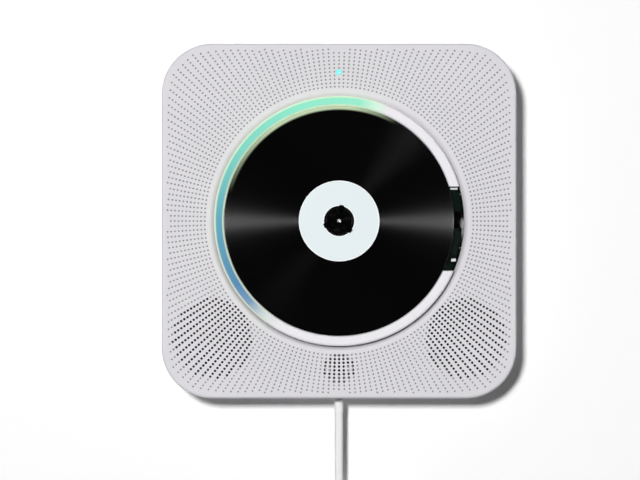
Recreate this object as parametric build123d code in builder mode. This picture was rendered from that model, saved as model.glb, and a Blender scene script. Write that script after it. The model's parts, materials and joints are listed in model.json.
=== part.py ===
from build123d import *
from math import acos, asin, atan, cos, degrees, hypot, pi, radians, sin, sqrt, tan
import os

# Wall mounted CD player. Millimetres, +Z up, +X to the right as seen from the front.
# The wall is the plane Y = 0 and the player stands out of it towards -Y, so a "depth" is
# a distance from the wall. The origin is the middle of the wall bracket's back face, and
# the disc turns about the line X = Z = 0.

os.makedirs("parts", exist_ok=True)

# ---------------------------------------------------------------- driving dimensions

# housing
housing_width = 186.0
housing_height = 186.0
corner_radius = 26.5
wall_gap = 2.0  # from the wall to the housing's back
face_depth = 44.0  # from the wall to the front face
seam_depth = 32.0  # from the wall to the joint of the two covers
side_wall = 2.2
front_wall = 2.0
rear_wall = 2.0
front_edge_round = 1.6
rear_edge_round = 3.0
lip_height = 2.2
lip_wall = 1.2
lip_clearance = 0.15
lip_root = 1.6  # how far the lip goes down the inside of the rear cover's wall

# general fits
screw_clearance = 0.05  # radial, of a screw in its hole
shaft_clearance = 0.05  # radial, of a shaft or rod in its bearing
moving_clearance = 0.3  # between faces of pieces that move apart

# grille of the front cover
ray_count = 200
first_row_radius = 70.4
row_pitch = 1.97
row_count = 25
grille_hole_diameter = 1.0
speaker_x = 66.6
speaker_z = -61.6
speaker_zone_radius = 20.9
sensor_z = -77.3
sensor_zone_radius = 8.0

# disc and label
disc_diameter = 120.0
disc_bore_diameter = 15.0
disc_thickness = 1.2
label_diameter = 42.2
label_bore_diameter = 15.8
label_thickness = 0.15

# light ring, its window, and the trough that it stands in
ring_diameter = 131.0
ring_width = 4.9
ring_height = 9.3
ring_proud = 5.0  # how far the ring stands out of the front face
ring_edge_round = 1.5
ring_wall = 1.0
ring_channel_height = 2.2
ring_clearance = 0.15
window_top = 18.1
window_bottom = -26.1
window_left = 40.0
moat_width = 3.1
moat_drop = 1.4
collar_wall = 2.0
trough_floor = 1.5
ring_board_thickness = 1.2
ring_lamp_size = 2.2
ring_lamp_height = 1.0
ring_lamp_count = 26

# deck under the disc
disc_recess = 1.0  # from the ring's top down to the disc's top
deck_floor = 1.5
hub_hole_radius = 16.0
pickup_slot_top = 8.5
pickup_slot_bottom = -7.5

# turntable
turntable_radius = 14.5
turntable_thickness = 1.7
turntable_boss_radius = 4.0
disc_seat_gap = 0.2
hub_radius = 7.2
hub_height = 2.7
hub_edge_round = 1.0
hub_mark_radius = 0.9
hub_mark_circle = 4.6
hub_mark_depth = 0.3
hub_mark_angles = (17.0, 137.0, 258.0)
claw_angles = (80.0, 198.0, 319.0)
claw_reach = 8.4
claw_length = 3.2
claw_width = 2.6
claw_height = 0.9
claw_travel = 1.15
spindle_shaft_radius = 1.0
spindle_shaft_tip = 0.5  # how far the shaft stands out of the hub

# disc mechanism
chassis_depth = 33.0  # front face of the chassis plate
chassis_thickness = 3.0
chassis_left = -37.0
chassis_right = 75.0
chassis_half_height = 38.0
chassis_corner = 5.0
damper_left = -30.0
damper_right = 48.0
damper_z = 30.0
damper_hole_radius = 3.2
damper_flange_radius = 4.8
damper_flange = 1.4
damper_screw_radius = 1.4
damper_screw_bite = 6.0
spindle_motor_radius = 12.0
spindle_motor_height = 12.5
motor_nose_radius = 3.0
motor_nose_height = 2.0
lens_rest_x = 23.0
lens_travel = 35.0
sled_left_reach = 11.0
sled_right_reach = 7.0
sled_top_z = 17.4
sled_bottom_z = -19.0
sled_thickness = 3.3
sled_floor_gap = 0.4
tower_left_reach = 5.5
tower_right_reach = 2.9
tower_half_height = 3.3
tower_height = 5.9
laser_block_half_width = 9.0
laser_block_half_height = 10.0
laser_block_drop = 7.4
lens_holder_width = 10.0
lens_holder_height = 12.0
lens_holder_thickness = 2.0
lens_holder_gap = 0.7
lens_radius = 2.2
lens_crown = 0.4
rod_radius = 1.0
rod_upper_z = 14.6
rod_lower_z = -14.6
lug_width = 3.0
left_lug_x = 6.0
lug_half_height = 2.4

# gear train of the sled
gear_module = 0.5
pressure_angle = 25.0
rack_pitch_z = -22.0
rack_thickness = 2.4
rack_back = 2.9
idler_x = 36.0
idler_small_teeth = 12
idler_large_teeth = 34
idler_wheel_height = 1.8
idler_pin_radius = 1.0
pinion_teeth = 10
pinion_direction = 205.0
pinion_height = 2.2
pinion_shaft_radius = 0.75
sled_motor_radius = 7.0
sled_motor_height = 16.0
backlash = 0.12

# deck board, seen through the window
deck_board_depth = 40.0
deck_board_thickness = 1.2
deck_board_left = 11.5
deck_board_outer_radius = 64.6
deck_board_inner_radius = 57.8
board_slot_top = 5.0
board_slot_bottom = -3.7
window_board_gap = 0.3

# speakers
speaker_radius = 22.0
speaker_flange = 1.5
speaker_boss_height = 2.5
speaker_lug_circle = 22.9
speaker_lug_radius = 2.4
speaker_lug_angles = (75.0, 195.0, 315.0)
basket_wall = 1.0
basket_height = 13.0
cone_radius = 15.5
surround_radius = 18.6
cone_travel = 0.8
magnet_radius = 12.0
magnet_height = 9.0
coil_radius = 5.2
coil_wall = 0.4

# boards inside
board_thickness = 1.6
main_board_width = 90.0
main_board_height = 56.0
main_board_z = -38.0
main_board_depth = 9.0
post_radius = 3.0
small_post_radius = 2.0
screw_head_radius = 1.9
screw_head_height = 1.4
small_screw_radius = 0.95
small_screw_length = 3.4

# sockets on the right side
io_board_depth = 12.0
io_board_left = 62.0
io_board_height = 42.0
io_board_z = 34.0
usb_z = 42.0
usb_width = 13.1
usb_height = 5.7
usb_length = 14.0
usb_shell = 0.4
jack_z = 24.0
jack_length = 12.5
jack_width = 7.0
jack_height = 6.4
jack_bore_radius = 1.8

# buttons on the top edge
button_count = 5
button_pitch = 13.0
button_width = 8.0
button_depth_size = 4.6
button_proud = 1.2
button_travel = 0.6
button_clearance = 0.25
button_flange = 1.2
button_row_depth = 20.0
key_board_width = 74.0
key_board_size = 18.0
key_switch_size = 6.0
key_switch_height = 3.0
key_plunger_radius = 1.7

# case screws and wall bracket
case_top_boss = (77.0, 77.0)
case_bottom_boss = (37.0, -83.0)
case_boss_radius = 4.0
case_boss_joint = 26.0  # depth where the bosses of the two covers meet
case_screw_radius = 1.5
case_screw_head_radius = 2.8
case_screw_head = 1.8
case_screw_length = 32.0
pad_radius = 6.0
pad_offset = 70.0
bracket_width = 84.0
bracket_height = 60.0
bracket_thickness = 1.6
bracket_corner = 8.0
bracket_hole_radius = 2.25
bracket_hole_spacing = 60.0
hook_x = 26.0
hook_width = 10.0
hook_z = 16.0
hook_rise = 6.0
lift_travel = 9.0

# pull switch and cord
cord_depth = 22.0
cord_diameter = 4.5
sleeve_diameter = 4.8
sleeve_length = 9.0  # below the housing
sleeve_inner_length = 9.0
sleeve_hole_clearance = 0.5
pull_travel = 4.0
switch_width = 16.0
switch_height = 21.0
switch_wall = 1.5
slider_head_radius = 3.9
slider_head_height = 2.6
slider_shank_radius = 1.6
switch_bore_radius = 4.3
spring_radius = 3.2
spring_wire_radius = 0.35
spring_turns = 7
hank_top_z = -138.0  # where the straight cord goes over into the hank
hank_run_half = 35.0
hank_fold_radius = 13.5
hank_fold_step = 5.3
hank_waist = 5.5
hank_waist_step = 6.3
hank_layer_step = 5.1
hank_folds = 10
hank_end_clearance = 4.2
tie_height = 12.0
tie_wall = 1.2
tie_clearance = 0.9
plug_relief_length = 14.0
plug_relief_radius = 3.3
plug_width = 15.6
plug_thickness = 8.0
plug_length = 24.0
plug_corner = 2.0
plug_shell_width = 12.0
plug_shell_height = 4.5
plug_shell_length = 12.0
plug_shell_wall = 0.35

# ---------------------------------------------------------------- derived places

ring_radius = ring_diameter / 2
ring_inner_radius = ring_radius - ring_width
ring_top = face_depth + ring_proud
ring_foot = ring_top - ring_height
ring_board_back = ring_foot - ring_board_thickness
trough_back = ring_board_back - trough_floor
collar_radius = ring_radius + ring_clearance
inner_collar_radius = ring_inner_radius - ring_clearance
front_inside = face_depth - front_wall
rear_inside = wall_gap + rear_wall
inner_width = housing_width - 2 * side_wall
inner_height = housing_height - 2 * side_wall
inner_corner = corner_radius - side_wall
bottom_inside = -inner_height / 2
top_inside = inner_height / 2

disc_front = ring_top - disc_recess
disc_back = disc_front - disc_thickness
turntable_front = disc_back - disc_seat_gap
hub_front = turntable_front + hub_height
deck_front = face_depth
deck_back = deck_front - deck_floor

chassis_back = chassis_depth - chassis_thickness
sled_back = chassis_depth + sled_floor_gap
sled_front = sled_back + sled_thickness
rod_depth = (sled_back + sled_front) / 2
right_lug_x = chassis_right - lug_width - 0.5
tower_front = sled_front + tower_height
idler_small_radius = gear_module * idler_small_teeth / 2
idler_large_radius = gear_module * idler_large_teeth / 2
pinion_radius = gear_module * pinion_teeth / 2
idler_z = rack_pitch_z - idler_small_radius
pinion_distance = idler_large_radius + pinion_radius
pinion_x = idler_x + pinion_distance * cos(radians(pinion_direction))
pinion_z = idler_z + pinion_distance * sin(radians(pinion_direction))
rack_back_depth = sled_back + 0.2
idler_wheel_back = sled_front + 0.4
damper_front = chassis_depth + damper_flange
damper_points = [(x, z) for x in (damper_left, damper_right) for z in (-damper_z, damper_z)]

speaker_flange_front = front_inside - speaker_boss_height
speaker_flange_back = speaker_flange_front - speaker_flange
speaker_sides = {"left": -1, "right": 1}

key_board_z = top_inside - 7.0
button_row = [(i - (button_count - 1) / 2) * button_pitch for i in range(button_count)]
button_names = ["volume_down", "volume_up", "play", "previous", "next"]

case_bosses = [(s * case_top_boss[0], case_top_boss[1]) for s in (-1, 1)]
case_bosses += [(s * case_bottom_boss[0], case_bottom_boss[1]) for s in (-1, 1)]
pad_points = [(x, z) for x in (-pad_offset, pad_offset) for z in (-pad_offset, pad_offset)]
main_board_screws = [
    (x, main_board_z + z)
    for x in (-main_board_width / 2 + 5, main_board_width / 2 - 5)
    for z in (-main_board_height / 2 + 5, main_board_height / 2 - 5)
]
io_board_right = housing_width / 2 - side_wall - 0.3
io_board_screws = [(io_board_left + 4, io_board_z - 16.0), (io_board_left + 4, io_board_z + 16.0)]
deck_board_screws = [(20.0, 16.0), (36.0, 15.0), (18.0, -18.0)]
led_z = 78.0
led_radius = 1.45
led_flange_radius = 2.4
led_flange = 1.4
front_board_depth = 35.0
front_board_thickness = 1.2
front_board_width = 16.0
front_board_height = 10.0


# ---------------------------------------------------------------- helpers


def facing(x, z, depth):
    """Plane parallel to the wall at that depth, seen from the front, with its origin at (x, z)."""
    return Plane(origin=(x, -depth, z), x_dir=(1, 0, 0), z_dir=(0, -1, 0))


def half_section(x=0.0, z=0.0):
    """Plane of (radius, depth) for a piece that is turned about the line through (x, z)."""
    return Plane(origin=(x, 0, z), x_dir=(1, 0, 0), z_dir=(0, 0, -1))


def turning_axis(x=0.0, z=0.0):
    """Axis through (x, z), square to the wall and pointing out of it."""
    return Axis((x, 0, z), (0, -1, 0))


def polar(radius, angle):
    return radius * cos(radians(angle)), radius * sin(radians(angle))


def turned(points, x=0.0, z=0.0):
    """Solid of a closed (radius, depth) outline turned about the line through (x, z)."""
    with BuildPart() as piece:
        with BuildSketch(half_section(x, z)):
            with BuildLine():
                Polyline(*points, close=True)
            make_face()
        revolve(axis=turning_axis(x, z))
    return piece.part


def block(x_range, depth_range, z_range, corner=0.0):
    """Block between two values of x, of depth and of z, with rounded corners as seen from the front."""
    width = x_range[1] - x_range[0]
    height = z_range[1] - z_range[0]
    middle = facing(sum(x_range) / 2, sum(z_range) / 2, depth_range[0])
    with BuildPart() as piece:
        with BuildSketch(middle):
            if corner > 0:
                RectangleRounded(width, height, corner)
            else:
                Rectangle(width, height)
        extrude(amount=depth_range[1] - depth_range[0])
    return piece.part


def post(x, z, depth_range, radius):
    """Round post or hole between two depths."""
    with BuildPart() as piece:
        with BuildSketch(facing(x, z, depth_range[0])):
            Circle(radius)
        extrude(amount=depth_range[1] - depth_range[0])
    return piece.part


def dome(x, z, depth, radius, crown):
    """Solid cap of a ball on a short round foot, whose rim lies at that depth."""
    ball = (radius ** 2 + crown ** 2) / (2 * crown)
    with BuildPart() as piece:
        with BuildSketch(half_section(x, z)):
            with BuildLine():
                Line((0, depth + crown), (0, depth - 0.1))
                Line((0, depth - 0.1), (radius, depth - 0.1))
                Line((radius, depth - 0.1), (radius, depth))
                middle = Vector(ball * sin(asin(radius / ball) / 2), 0)
                rise = ball * cos(asin(radius / ball) / 2) - (ball - crown)
                ThreePointArc((radius, depth), (middle.X, depth + rise), (0, depth + crown))
            make_face()
        revolve(axis=turning_axis(x, z))
    return piece.part


def grille_points(inside):
    """Points of the polar grille whose place passes the test inside(x, z)."""
    points = []
    for row in range(row_count):
        for ray in range(ray_count):
            x, z = polar(first_row_radius + row * row_pitch, ray * 360 / ray_count)
            if inside(x, z):
                points.append((x, z))
    return points


def in_speaker_zone(x, z):
    return hypot(abs(x) - speaker_x, z - speaker_z) < speaker_zone_radius


def in_sensor_zone(x, z):
    return hypot(x, z - sensor_z) < sensor_zone_radius


def gear_outline(teeth, tooth_angle):
    """Points of a gear's outline with involute flanks, one tooth centred on tooth_angle."""
    pitch = gear_module * teeth / 2
    base = pitch * cos(radians(pressure_angle))
    tip = pitch + 0.8 * gear_module
    root = pitch - 1.05 * gear_module
    at_pitch = tan(radians(pressure_angle)) - radians(pressure_angle)
    half_tooth = (pi * gear_module / 2 - backlash) / 2 / pitch + at_pitch
    start = max(base, root)
    flank = []
    for k in range(4):
        radius = start + (tip - start) * k / 3
        turn = sqrt((radius / base) ** 2 - 1) - acos(base / radius)
        flank.append((radius, half_tooth - turn))
    if root < base:
        flank.insert(0, (root, half_tooth))
    points = []
    for tooth in range(teeth):
        middle = radians(tooth_angle) + 2 * pi * tooth / teeth
        for radius, half in flank:
            points.append((radius * cos(middle - half), radius * sin(middle - half)))
        for radius, half in reversed(flank):
            points.append((radius * cos(middle + half), radius * sin(middle + half)))
    return points


def gear_wheel(x, z, depth, height, teeth, tooth_angle):
    """Solid gear wheel whose back face is at that depth."""
    with BuildPart() as wheel:
        with BuildSketch(facing(x, z, depth)):
            with BuildLine():
                Polyline(*gear_outline(teeth, tooth_angle), close=True)
            make_face()
        extrude(amount=height)
    return wheel.part


def add_piece(piece):
    add(piece)


def cut_piece(piece):
    add(piece, mode=Mode.SUBTRACT)


def write(name, part):
    part.label = name
    export_step(part, f"parts/{name}.step")


# ---------------------------------------------------------------- deck tray

# trough for the ring, inner collar and deck floor, open at the window and over the pickup
deck_outline = [
    (collar_radius + collar_wall / 2, trough_back),
    (inner_collar_radius - trough_floor, trough_back),
    (inner_collar_radius - trough_floor, deck_back),
    (hub_hole_radius, deck_back),
    (hub_hole_radius, deck_front),
    (inner_collar_radius, deck_front),
    (inner_collar_radius, ring_board_back),
    (collar_radius + collar_wall / 2, ring_board_back),
]
# collar round the ring, which ends against the back of the front cover's plate
collar_outline = [
    (collar_radius, front_inside),
    (collar_radius + collar_wall, front_inside),
    (collar_radius + collar_wall, trough_back),
    (collar_radius, trough_back),
]
with BuildPart() as deck_tray:
    add_piece(turned(deck_outline))
    cut_piece(
        block(
            (window_left, housing_width / 2),
            (trough_back - 1, deck_front + 1),
            (window_bottom, window_top),
        )
    )
    cut_piece(
        block(
            (hub_hole_radius - 6, window_left + 1),
            (deck_back - 1, deck_front + 1),
            (pickup_slot_bottom, pickup_slot_top),
        )
    )
    add_piece(turned(collar_outline))
    # bosses behind the floor: dampers and deck board
    for x, z in damper_points:
        add_piece(post(x, z, (damper_front, deck_back + 0.2), post_radius + 0.5))
    for x, z in damper_points:
        hole_radius = damper_screw_radius + screw_clearance
        cut_piece(post(x, z, (damper_front - 1, damper_front + damper_screw_bite), hole_radius))
    for x, z in deck_board_screws:
        board_front = deck_board_depth + deck_board_thickness
        add_piece(post(x, z, (board_front, deck_back + 0.2), small_post_radius))
        hole_end = deck_board_depth + small_screw_length + 0.1
        cut_piece(post(x, z, (board_front - 1, hole_end), small_screw_radius + screw_clearance))
write("deck_tray", deck_tray.part)

# ---------------------------------------------------------------- front cover

with BuildPart() as front_cover:
    with BuildSketch(facing(0, 0, seam_depth)):
        RectangleRounded(housing_width, housing_height, corner_radius)
    extrude(amount=face_depth - seam_depth)
    fillet(front_cover.faces().sort_by(Axis.Y)[0].edges(), radius=front_edge_round)
    with BuildSketch(facing(0, 0, seam_depth)):
        RectangleRounded(inner_width, inner_height, inner_corner)
    extrude(amount=front_inside - seam_depth, mode=Mode.SUBTRACT)
    cut_piece(post(0, 0, (front_inside - 1, face_depth), collar_radius))
    moat_outline = [
        (ring_radius - 1, face_depth - moat_drop),
        (ring_radius, face_depth - moat_drop),
        (ring_radius + moat_width * 0.4, face_depth - moat_drop * 0.75),
        (ring_radius + moat_width * 0.75, face_depth - moat_drop * 0.25),
        (ring_radius + moat_width, face_depth),
        (ring_radius + moat_width, face_depth + 1),
        (ring_radius - 1, face_depth + 1),
    ]
    cut_piece(turned(moat_outline))
    # bosses behind the plate: speakers, case screws, small boards
    for side in speaker_sides.values():
        for angle in speaker_lug_angles:
            lug_x, lug_z = polar(speaker_lug_circle, angle)
            x, z = side * (speaker_x + lug_x), speaker_z + lug_z
            add_piece(post(x, z, (speaker_flange_front, front_inside + 0.2), speaker_lug_radius))
            hole_end = speaker_flange_back + small_screw_length + 0.1
            hole_radius = small_screw_radius + screw_clearance
            cut_piece(post(x, z, (speaker_flange_front - 1, hole_end), hole_radius))
    for x, z in case_bosses:
        add_piece(post(x, z, (case_boss_joint, front_inside + 0.2), case_boss_radius))
        screw_end = wall_gap + case_screw_head + case_screw_length
        hole_radius = case_screw_radius + screw_clearance
        cut_piece(post(x, z, (case_boss_joint - 1, screw_end + 0.5), hole_radius))
    for z in (led_z, sensor_z):
        for x in (-front_board_width / 2 + 2, front_board_width / 2 - 2):
            board_front = front_board_depth + front_board_thickness
            add_piece(post(x, z, (board_front, front_inside + 0.2), small_post_radius - 0.5))
    cut_piece(post(0, led_z, (front_inside - 1, face_depth + 1), led_radius + 0.05))
    # grille holes over the speakers and the remote sensor
    with BuildSketch(facing(0, 0, front_inside - 0.5)):
        with Locations(*grille_points(lambda x, z: in_speaker_zone(x, z) or in_sensor_zone(x, z))):
            Circle(grille_hole_diameter / 2)
    extrude(amount=front_wall + 1, mode=Mode.SUBTRACT)
write("front_cover", front_cover.part)

# ---------------------------------------------------------------- rear cover

hook_top = hook_z + bracket_thickness
slot_top = hook_top + moving_clearance
slot_bottom = hook_z - lift_travel - 0.6
usb_depth_range = (io_board_depth + board_thickness, io_board_depth + board_thickness + usb_height)
jack_depth_range = (usb_depth_range[0], usb_depth_range[0] + jack_height)
jack_axis_depth = sum(jack_depth_range) / 2
sleeve_hole_radius = sleeve_diameter / 2 + sleeve_hole_clearance
vent_count = 9
vent_pitch = 9.0
vent_width = 3.0
vent_height = 20.0
vent_z = 58.0
shelf_back = rear_inside - 0.2
shelf_front = button_row_depth + key_board_size / 2
shelf_thickness = 2.0

with BuildPart() as rear_cover:
    with BuildSketch(facing(0, 0, wall_gap)):
        RectangleRounded(housing_width, housing_height, corner_radius)
    extrude(amount=seam_depth - wall_gap)
    fillet(rear_cover.faces().sort_by(Axis.Y)[-1].edges(), radius=rear_edge_round)
    with BuildSketch(facing(0, 0, rear_inside)):
        RectangleRounded(inner_width, inner_height, inner_corner)
    extrude(amount=seam_depth - rear_inside, mode=Mode.SUBTRACT)
    # lip that goes into the front cover
    with BuildSketch(facing(0, 0, seam_depth - lip_root)):
        lip_inset = 2 * lip_clearance
        RectangleRounded(inner_width - lip_inset, inner_height - lip_inset, inner_corner)
        lip_inset += 2 * lip_wall
        RectangleRounded(
            inner_width - lip_inset, inner_height - lip_inset, inner_corner, mode=Mode.SUBTRACT
        )
    extrude(amount=lip_height + lip_root)
    with BuildSketch(facing(0, 0, seam_depth - lip_root)):
        RectangleRounded(inner_width + side_wall, inner_height + side_wall, inner_corner + 1.1)
        lip_inset = 2 * lip_clearance
        RectangleRounded(
            inner_width - lip_inset, inner_height - lip_inset, inner_corner, mode=Mode.SUBTRACT
        )
    extrude(amount=lip_root)
    # slots for the two hooks of the wall bracket, and the vents
    for side in (-1, 1):
        cut_piece(
            block(
                (side * hook_x - hook_width / 2 - 1, side * hook_x + hook_width / 2 + 1),
                (wall_gap - 1, rear_inside + 1),
                (slot_bottom, slot_top),
            )
        )
    with BuildSketch(facing(0, vent_z, wall_gap - 1)):
        with GridLocations(vent_pitch, 1, vent_count, 1):
            SlotOverall(vent_height, vent_width, rotation=90)
    extrude(amount=rear_wall + 2, mode=Mode.SUBTRACT)
    # bosses for the case screws, with a recess for each head
    for x, z in case_bosses:
        add_piece(post(x, z, (rear_inside - 0.2, case_boss_joint), case_boss_radius))
        cut_piece(post(x, z, (0, case_boss_joint + 1), case_screw_radius + screw_clearance))
        head_depth = wall_gap + case_screw_head
        cut_piece(post(x, z, (0, head_depth), case_screw_head_radius + 0.2))
    for x, z in main_board_screws:
        add_piece(post(x, z, (rear_inside - 0.2, main_board_depth), post_radius))
        hole_start = main_board_depth + board_thickness - small_screw_length - 0.1
        hole_radius = small_screw_radius + screw_clearance
        cut_piece(post(x, z, (hole_start, main_board_depth + 1), hole_radius))
    for x, z in io_board_screws:
        add_piece(post(x, z, (rear_inside - 0.2, io_board_depth), post_radius))
        hole_start = io_board_depth + board_thickness - small_screw_length - 0.1
        hole_radius = small_screw_radius + screw_clearance
        cut_piece(post(x, z, (hole_start, io_board_depth + 1), hole_radius))
    # shelf ribs that carry the key board
    for side in (-1, 1):
        edge_x = side * (key_board_width / 2 - 2)
        add_piece(
            block(
                (edge_x - 2, edge_x + 2),
                (shelf_back, shelf_front),
                (key_board_z - shelf_thickness, key_board_z),
            )
        )
    # openings: buttons at the top, sockets at the right, cord at the bottom
    with BuildSketch(Plane.XY.offset(top_inside - 1)):
        with Locations(*[(x, -button_row_depth) for x in button_row]):
            RectangleRounded(
                button_width + 2 * button_clearance,
                button_depth_size + 2 * button_clearance,
                button_depth_size / 2 + button_clearance - 0.01,
            )
    extrude(amount=side_wall + 2, mode=Mode.SUBTRACT)
    wall_x = (housing_width / 2 - side_wall - 1, housing_width / 2 + 1)
    usb_z_range = (usb_z - usb_width / 2 - 0.4, usb_z + usb_width / 2 + 0.4)
    usb_hole_depths = (usb_depth_range[0] - 0.4, usb_depth_range[1] + 0.4)
    cut_piece(block(wall_x, usb_hole_depths, usb_z_range))
    with BuildSketch(Plane.YZ.offset(wall_x[0])):
        with Locations((-jack_axis_depth, jack_z)):
            Circle(jack_bore_radius + 1.4)
    extrude(amount=side_wall + 2, mode=Mode.SUBTRACT)
    with BuildSketch(Plane.XY.offset(-housing_height / 2 - 1)):
        with Locations((0, -cord_depth)):
            Circle(sleeve_hole_radius)
    extrude(amount=side_wall + 2, mode=Mode.SUBTRACT)
write("rear_cover", rear_cover.part)

with BuildPart() as wall_pads:
    for x, z in pad_points:
        with BuildSketch(facing(x, z, 0)):
            Circle(pad_radius)
        extrude(amount=wall_gap)
write("wall_pads", wall_pads.part)

with BuildPart() as case_screws:
    for x, z in case_bosses:
        head_front = wall_gap + case_screw_head
        add_piece(post(x, z, (wall_gap + 0.1, head_front), case_screw_head_radius))
        add_piece(post(x, z, (head_front - 0.1, head_front + case_screw_length), case_screw_radius))
    for x, z in case_bosses:
        cross = (wall_gap, wall_gap + 0.9)
        cut_piece(block((x - 1.6, x + 1.6), cross, (z - 0.35, z + 0.35)))
        cut_piece(block((x - 0.35, x + 0.35), cross, (z - 1.6, z + 1.6)))
write("case_screws", case_screws.part)

# ---------------------------------------------------------------- wall bracket

hook_front = rear_inside + moving_clearance
with BuildPart() as wall_bracket:
    with BuildSketch(facing(0, 0, 0)):
        RectangleRounded(bracket_width, bracket_height, bracket_corner)
        with GridLocations(bracket_hole_spacing, 1, 2, 1):
            Circle(bracket_hole_radius, mode=Mode.SUBTRACT)
    extrude(amount=bracket_thickness)
    for side in (-1, 1):
        hook_sides = (side * hook_x - hook_width / 2, side * hook_x + hook_width / 2)
        # the tab is bent out of the plate, so it leaves a hole above its neck
        cut_piece(
            block(hook_sides, (-1, bracket_thickness + 1), (hook_top, hook_top + hook_rise + 2))
        )
        add_piece(
            block(hook_sides, (0, hook_front + bracket_thickness), (hook_z, hook_top))
        )
        add_piece(
            block(
                hook_sides,
                (hook_front, hook_front + bracket_thickness),
                (hook_z, hook_top + hook_rise),
            )
        )
write("wall_bracket", wall_bracket.part)

# ---------------------------------------------------------------- light ring

ring_sides = [ring_inner_radius, ring_radius]
channel_sides = (ring_inner_radius + ring_wall, ring_radius - ring_wall)
window_middle = ((window_left + housing_width) / 2, (window_top + window_bottom) / 2)
window_size = (housing_width - window_left, window_top - window_bottom)

with BuildPart() as light_ring:
    with BuildSketch(half_section()):
        with Locations((sum(ring_sides) / 2, (ring_foot + ring_top) / 2)):
            Rectangle(ring_width, ring_height)
        with Locations((sum(channel_sides) / 2, ring_foot + ring_channel_height / 2)):
            Rectangle(ring_width - 2 * ring_wall, ring_channel_height, mode=Mode.SUBTRACT)
    revolve(axis=turning_axis())
    top_edges = light_ring.faces().sort_by(Axis.Y)[0].edges()
    fillet(top_edges, radius=ring_edge_round)
    with BuildSketch(facing(0, 0, ring_foot - 1)):
        with Locations(window_middle):
            Rectangle(*window_size)
    extrude(amount=ring_height + 2, mode=Mode.SUBTRACT)
write("light_ring", light_ring.part)

with BuildPart() as ring_board:
    with BuildSketch(facing(0, 0, ring_board_back)):
        Circle(ring_radius - ring_clearance)
        Circle(ring_inner_radius + ring_clearance, mode=Mode.SUBTRACT)
        with Locations(window_middle):
            Rectangle(*window_size, mode=Mode.SUBTRACT)
    extrude(amount=ring_board_thickness)
write("ring_board", ring_board.part)

lamp_start = degrees(atan(window_top / ring_inner_radius)) + 6
lamp_end = 360 + degrees(atan(window_bottom / ring_inner_radius)) - 6
with BuildPart() as ring_lamps:
    for i in range(ring_lamp_count):
        angle = lamp_start + (lamp_end - lamp_start) * i / (ring_lamp_count - 1)
        x, z = polar(sum(channel_sides) / 2, angle)
        with BuildSketch(facing(x, z, ring_foot)):
            Rectangle(ring_lamp_size, ring_lamp_size, rotation=angle)
        extrude(amount=ring_lamp_height)
write("ring_lamps", ring_lamps.part)

# ---------------------------------------------------------------- indicator light and remote sensor

lens_section = [
    (0, front_inside - led_flange),
    (led_flange_radius, front_inside - led_flange),
    (led_flange_radius, front_inside),
    (led_radius, front_inside),
    (led_radius, face_depth),
    (0, face_depth),
]
write("indicator_lens", turned(lens_section, 0, led_z))

with BuildPart() as front_boards:
    board_depths = (front_board_depth, front_board_depth + front_board_thickness)
    half_width, half_height = front_board_width / 2, front_board_height / 2
    for z in (led_z, sensor_z):
        add_piece(
            block((-half_width, half_width), board_depths, (z - half_height, z + half_height), 1.5)
        )
    lamp_front = front_inside - led_flange - 0.3
    add_piece(block((-1.5, 1.5), (board_depths[1] - 0.2, lamp_front), (led_z - 1.5, led_z + 1.5)))
write("front_boards", front_boards.part)

sensor_size = 5.0
sensor_crown = 1.4
with BuildPart() as remote_sensor:
    sensor_depths = (front_board_depth + front_board_thickness, front_inside - 2.0)
    half = sensor_size / 2
    add_piece(block((-half, half), sensor_depths, (sensor_z - half, sensor_z + half), 0.6))
    add_piece(dome(0, sensor_z, sensor_depths[1], sensor_size / 2 - 0.4, sensor_crown))
write("remote_sensor", remote_sensor.part)

# ---------------------------------------------------------------- disc, label, turntable and claws

disc_radius = disc_diameter / 2
with BuildPart() as disc:
    with BuildSketch(facing(0, 0, disc_back)):
        Circle(disc_radius)
        Circle(disc_bore_diameter / 2, mode=Mode.SUBTRACT)
    extrude(amount=disc_thickness)
    fillet(disc.edges().filter_by(GeomType.CIRCLE).group_by(SortBy.RADIUS)[-1], radius=0.25)
write("disc", disc.part)

with BuildPart() as disc_label:
    with BuildSketch(facing(0, 0, disc_front)):
        Circle(label_diameter / 2)
        Circle(label_bore_diameter / 2, mode=Mode.SUBTRACT)
    extrude(amount=label_thickness)
write("disc_label", disc_label.part)

claw_back = disc_front + label_thickness + moving_clearance
claw_inner_radius = claw_reach - claw_length
claw_rest_clearance = 0.12
turntable_back = turntable_front - turntable_thickness
boss_back = chassis_depth + motor_nose_height - chassis_thickness + 3.0

with BuildPart() as turntable:
    add_piece(post(0, 0, (turntable_back, turntable_front), turntable_radius))
    add_piece(post(0, 0, (boss_back, turntable_back + 0.1), turntable_boss_radius))
    with BuildSketch(facing(0, 0, turntable_front - 0.1)):
        Circle(hub_radius)
    extrude(amount=hub_height + 0.1)
    fillet(turntable.faces().sort_by(Axis.Y)[0].edges(), radius=hub_edge_round)
    for angle in claw_angles:
        pocket_inner = claw_inner_radius - claw_travel - moving_clearance
        pocket_length = hub_radius + 1 - pocket_inner
        x, z = polar(pocket_inner + pocket_length / 2, angle)
        with BuildSketch(facing(x, z, claw_back - claw_rest_clearance)):
            Rectangle(pocket_length, claw_width + 2 * claw_rest_clearance, rotation=angle)
        extrude(amount=hub_height, mode=Mode.SUBTRACT)
    for angle in hub_mark_angles:
        x, z = polar(hub_mark_circle, angle)
        cut_piece(post(x, z, (hub_front - hub_mark_depth, hub_front + 1), hub_mark_radius))
    cut_piece(
        post(0, 0, (boss_back - 1, hub_front + 1), spindle_shaft_radius + 0.4 * shaft_clearance)
    )
write("turntable", turntable.part)

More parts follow.
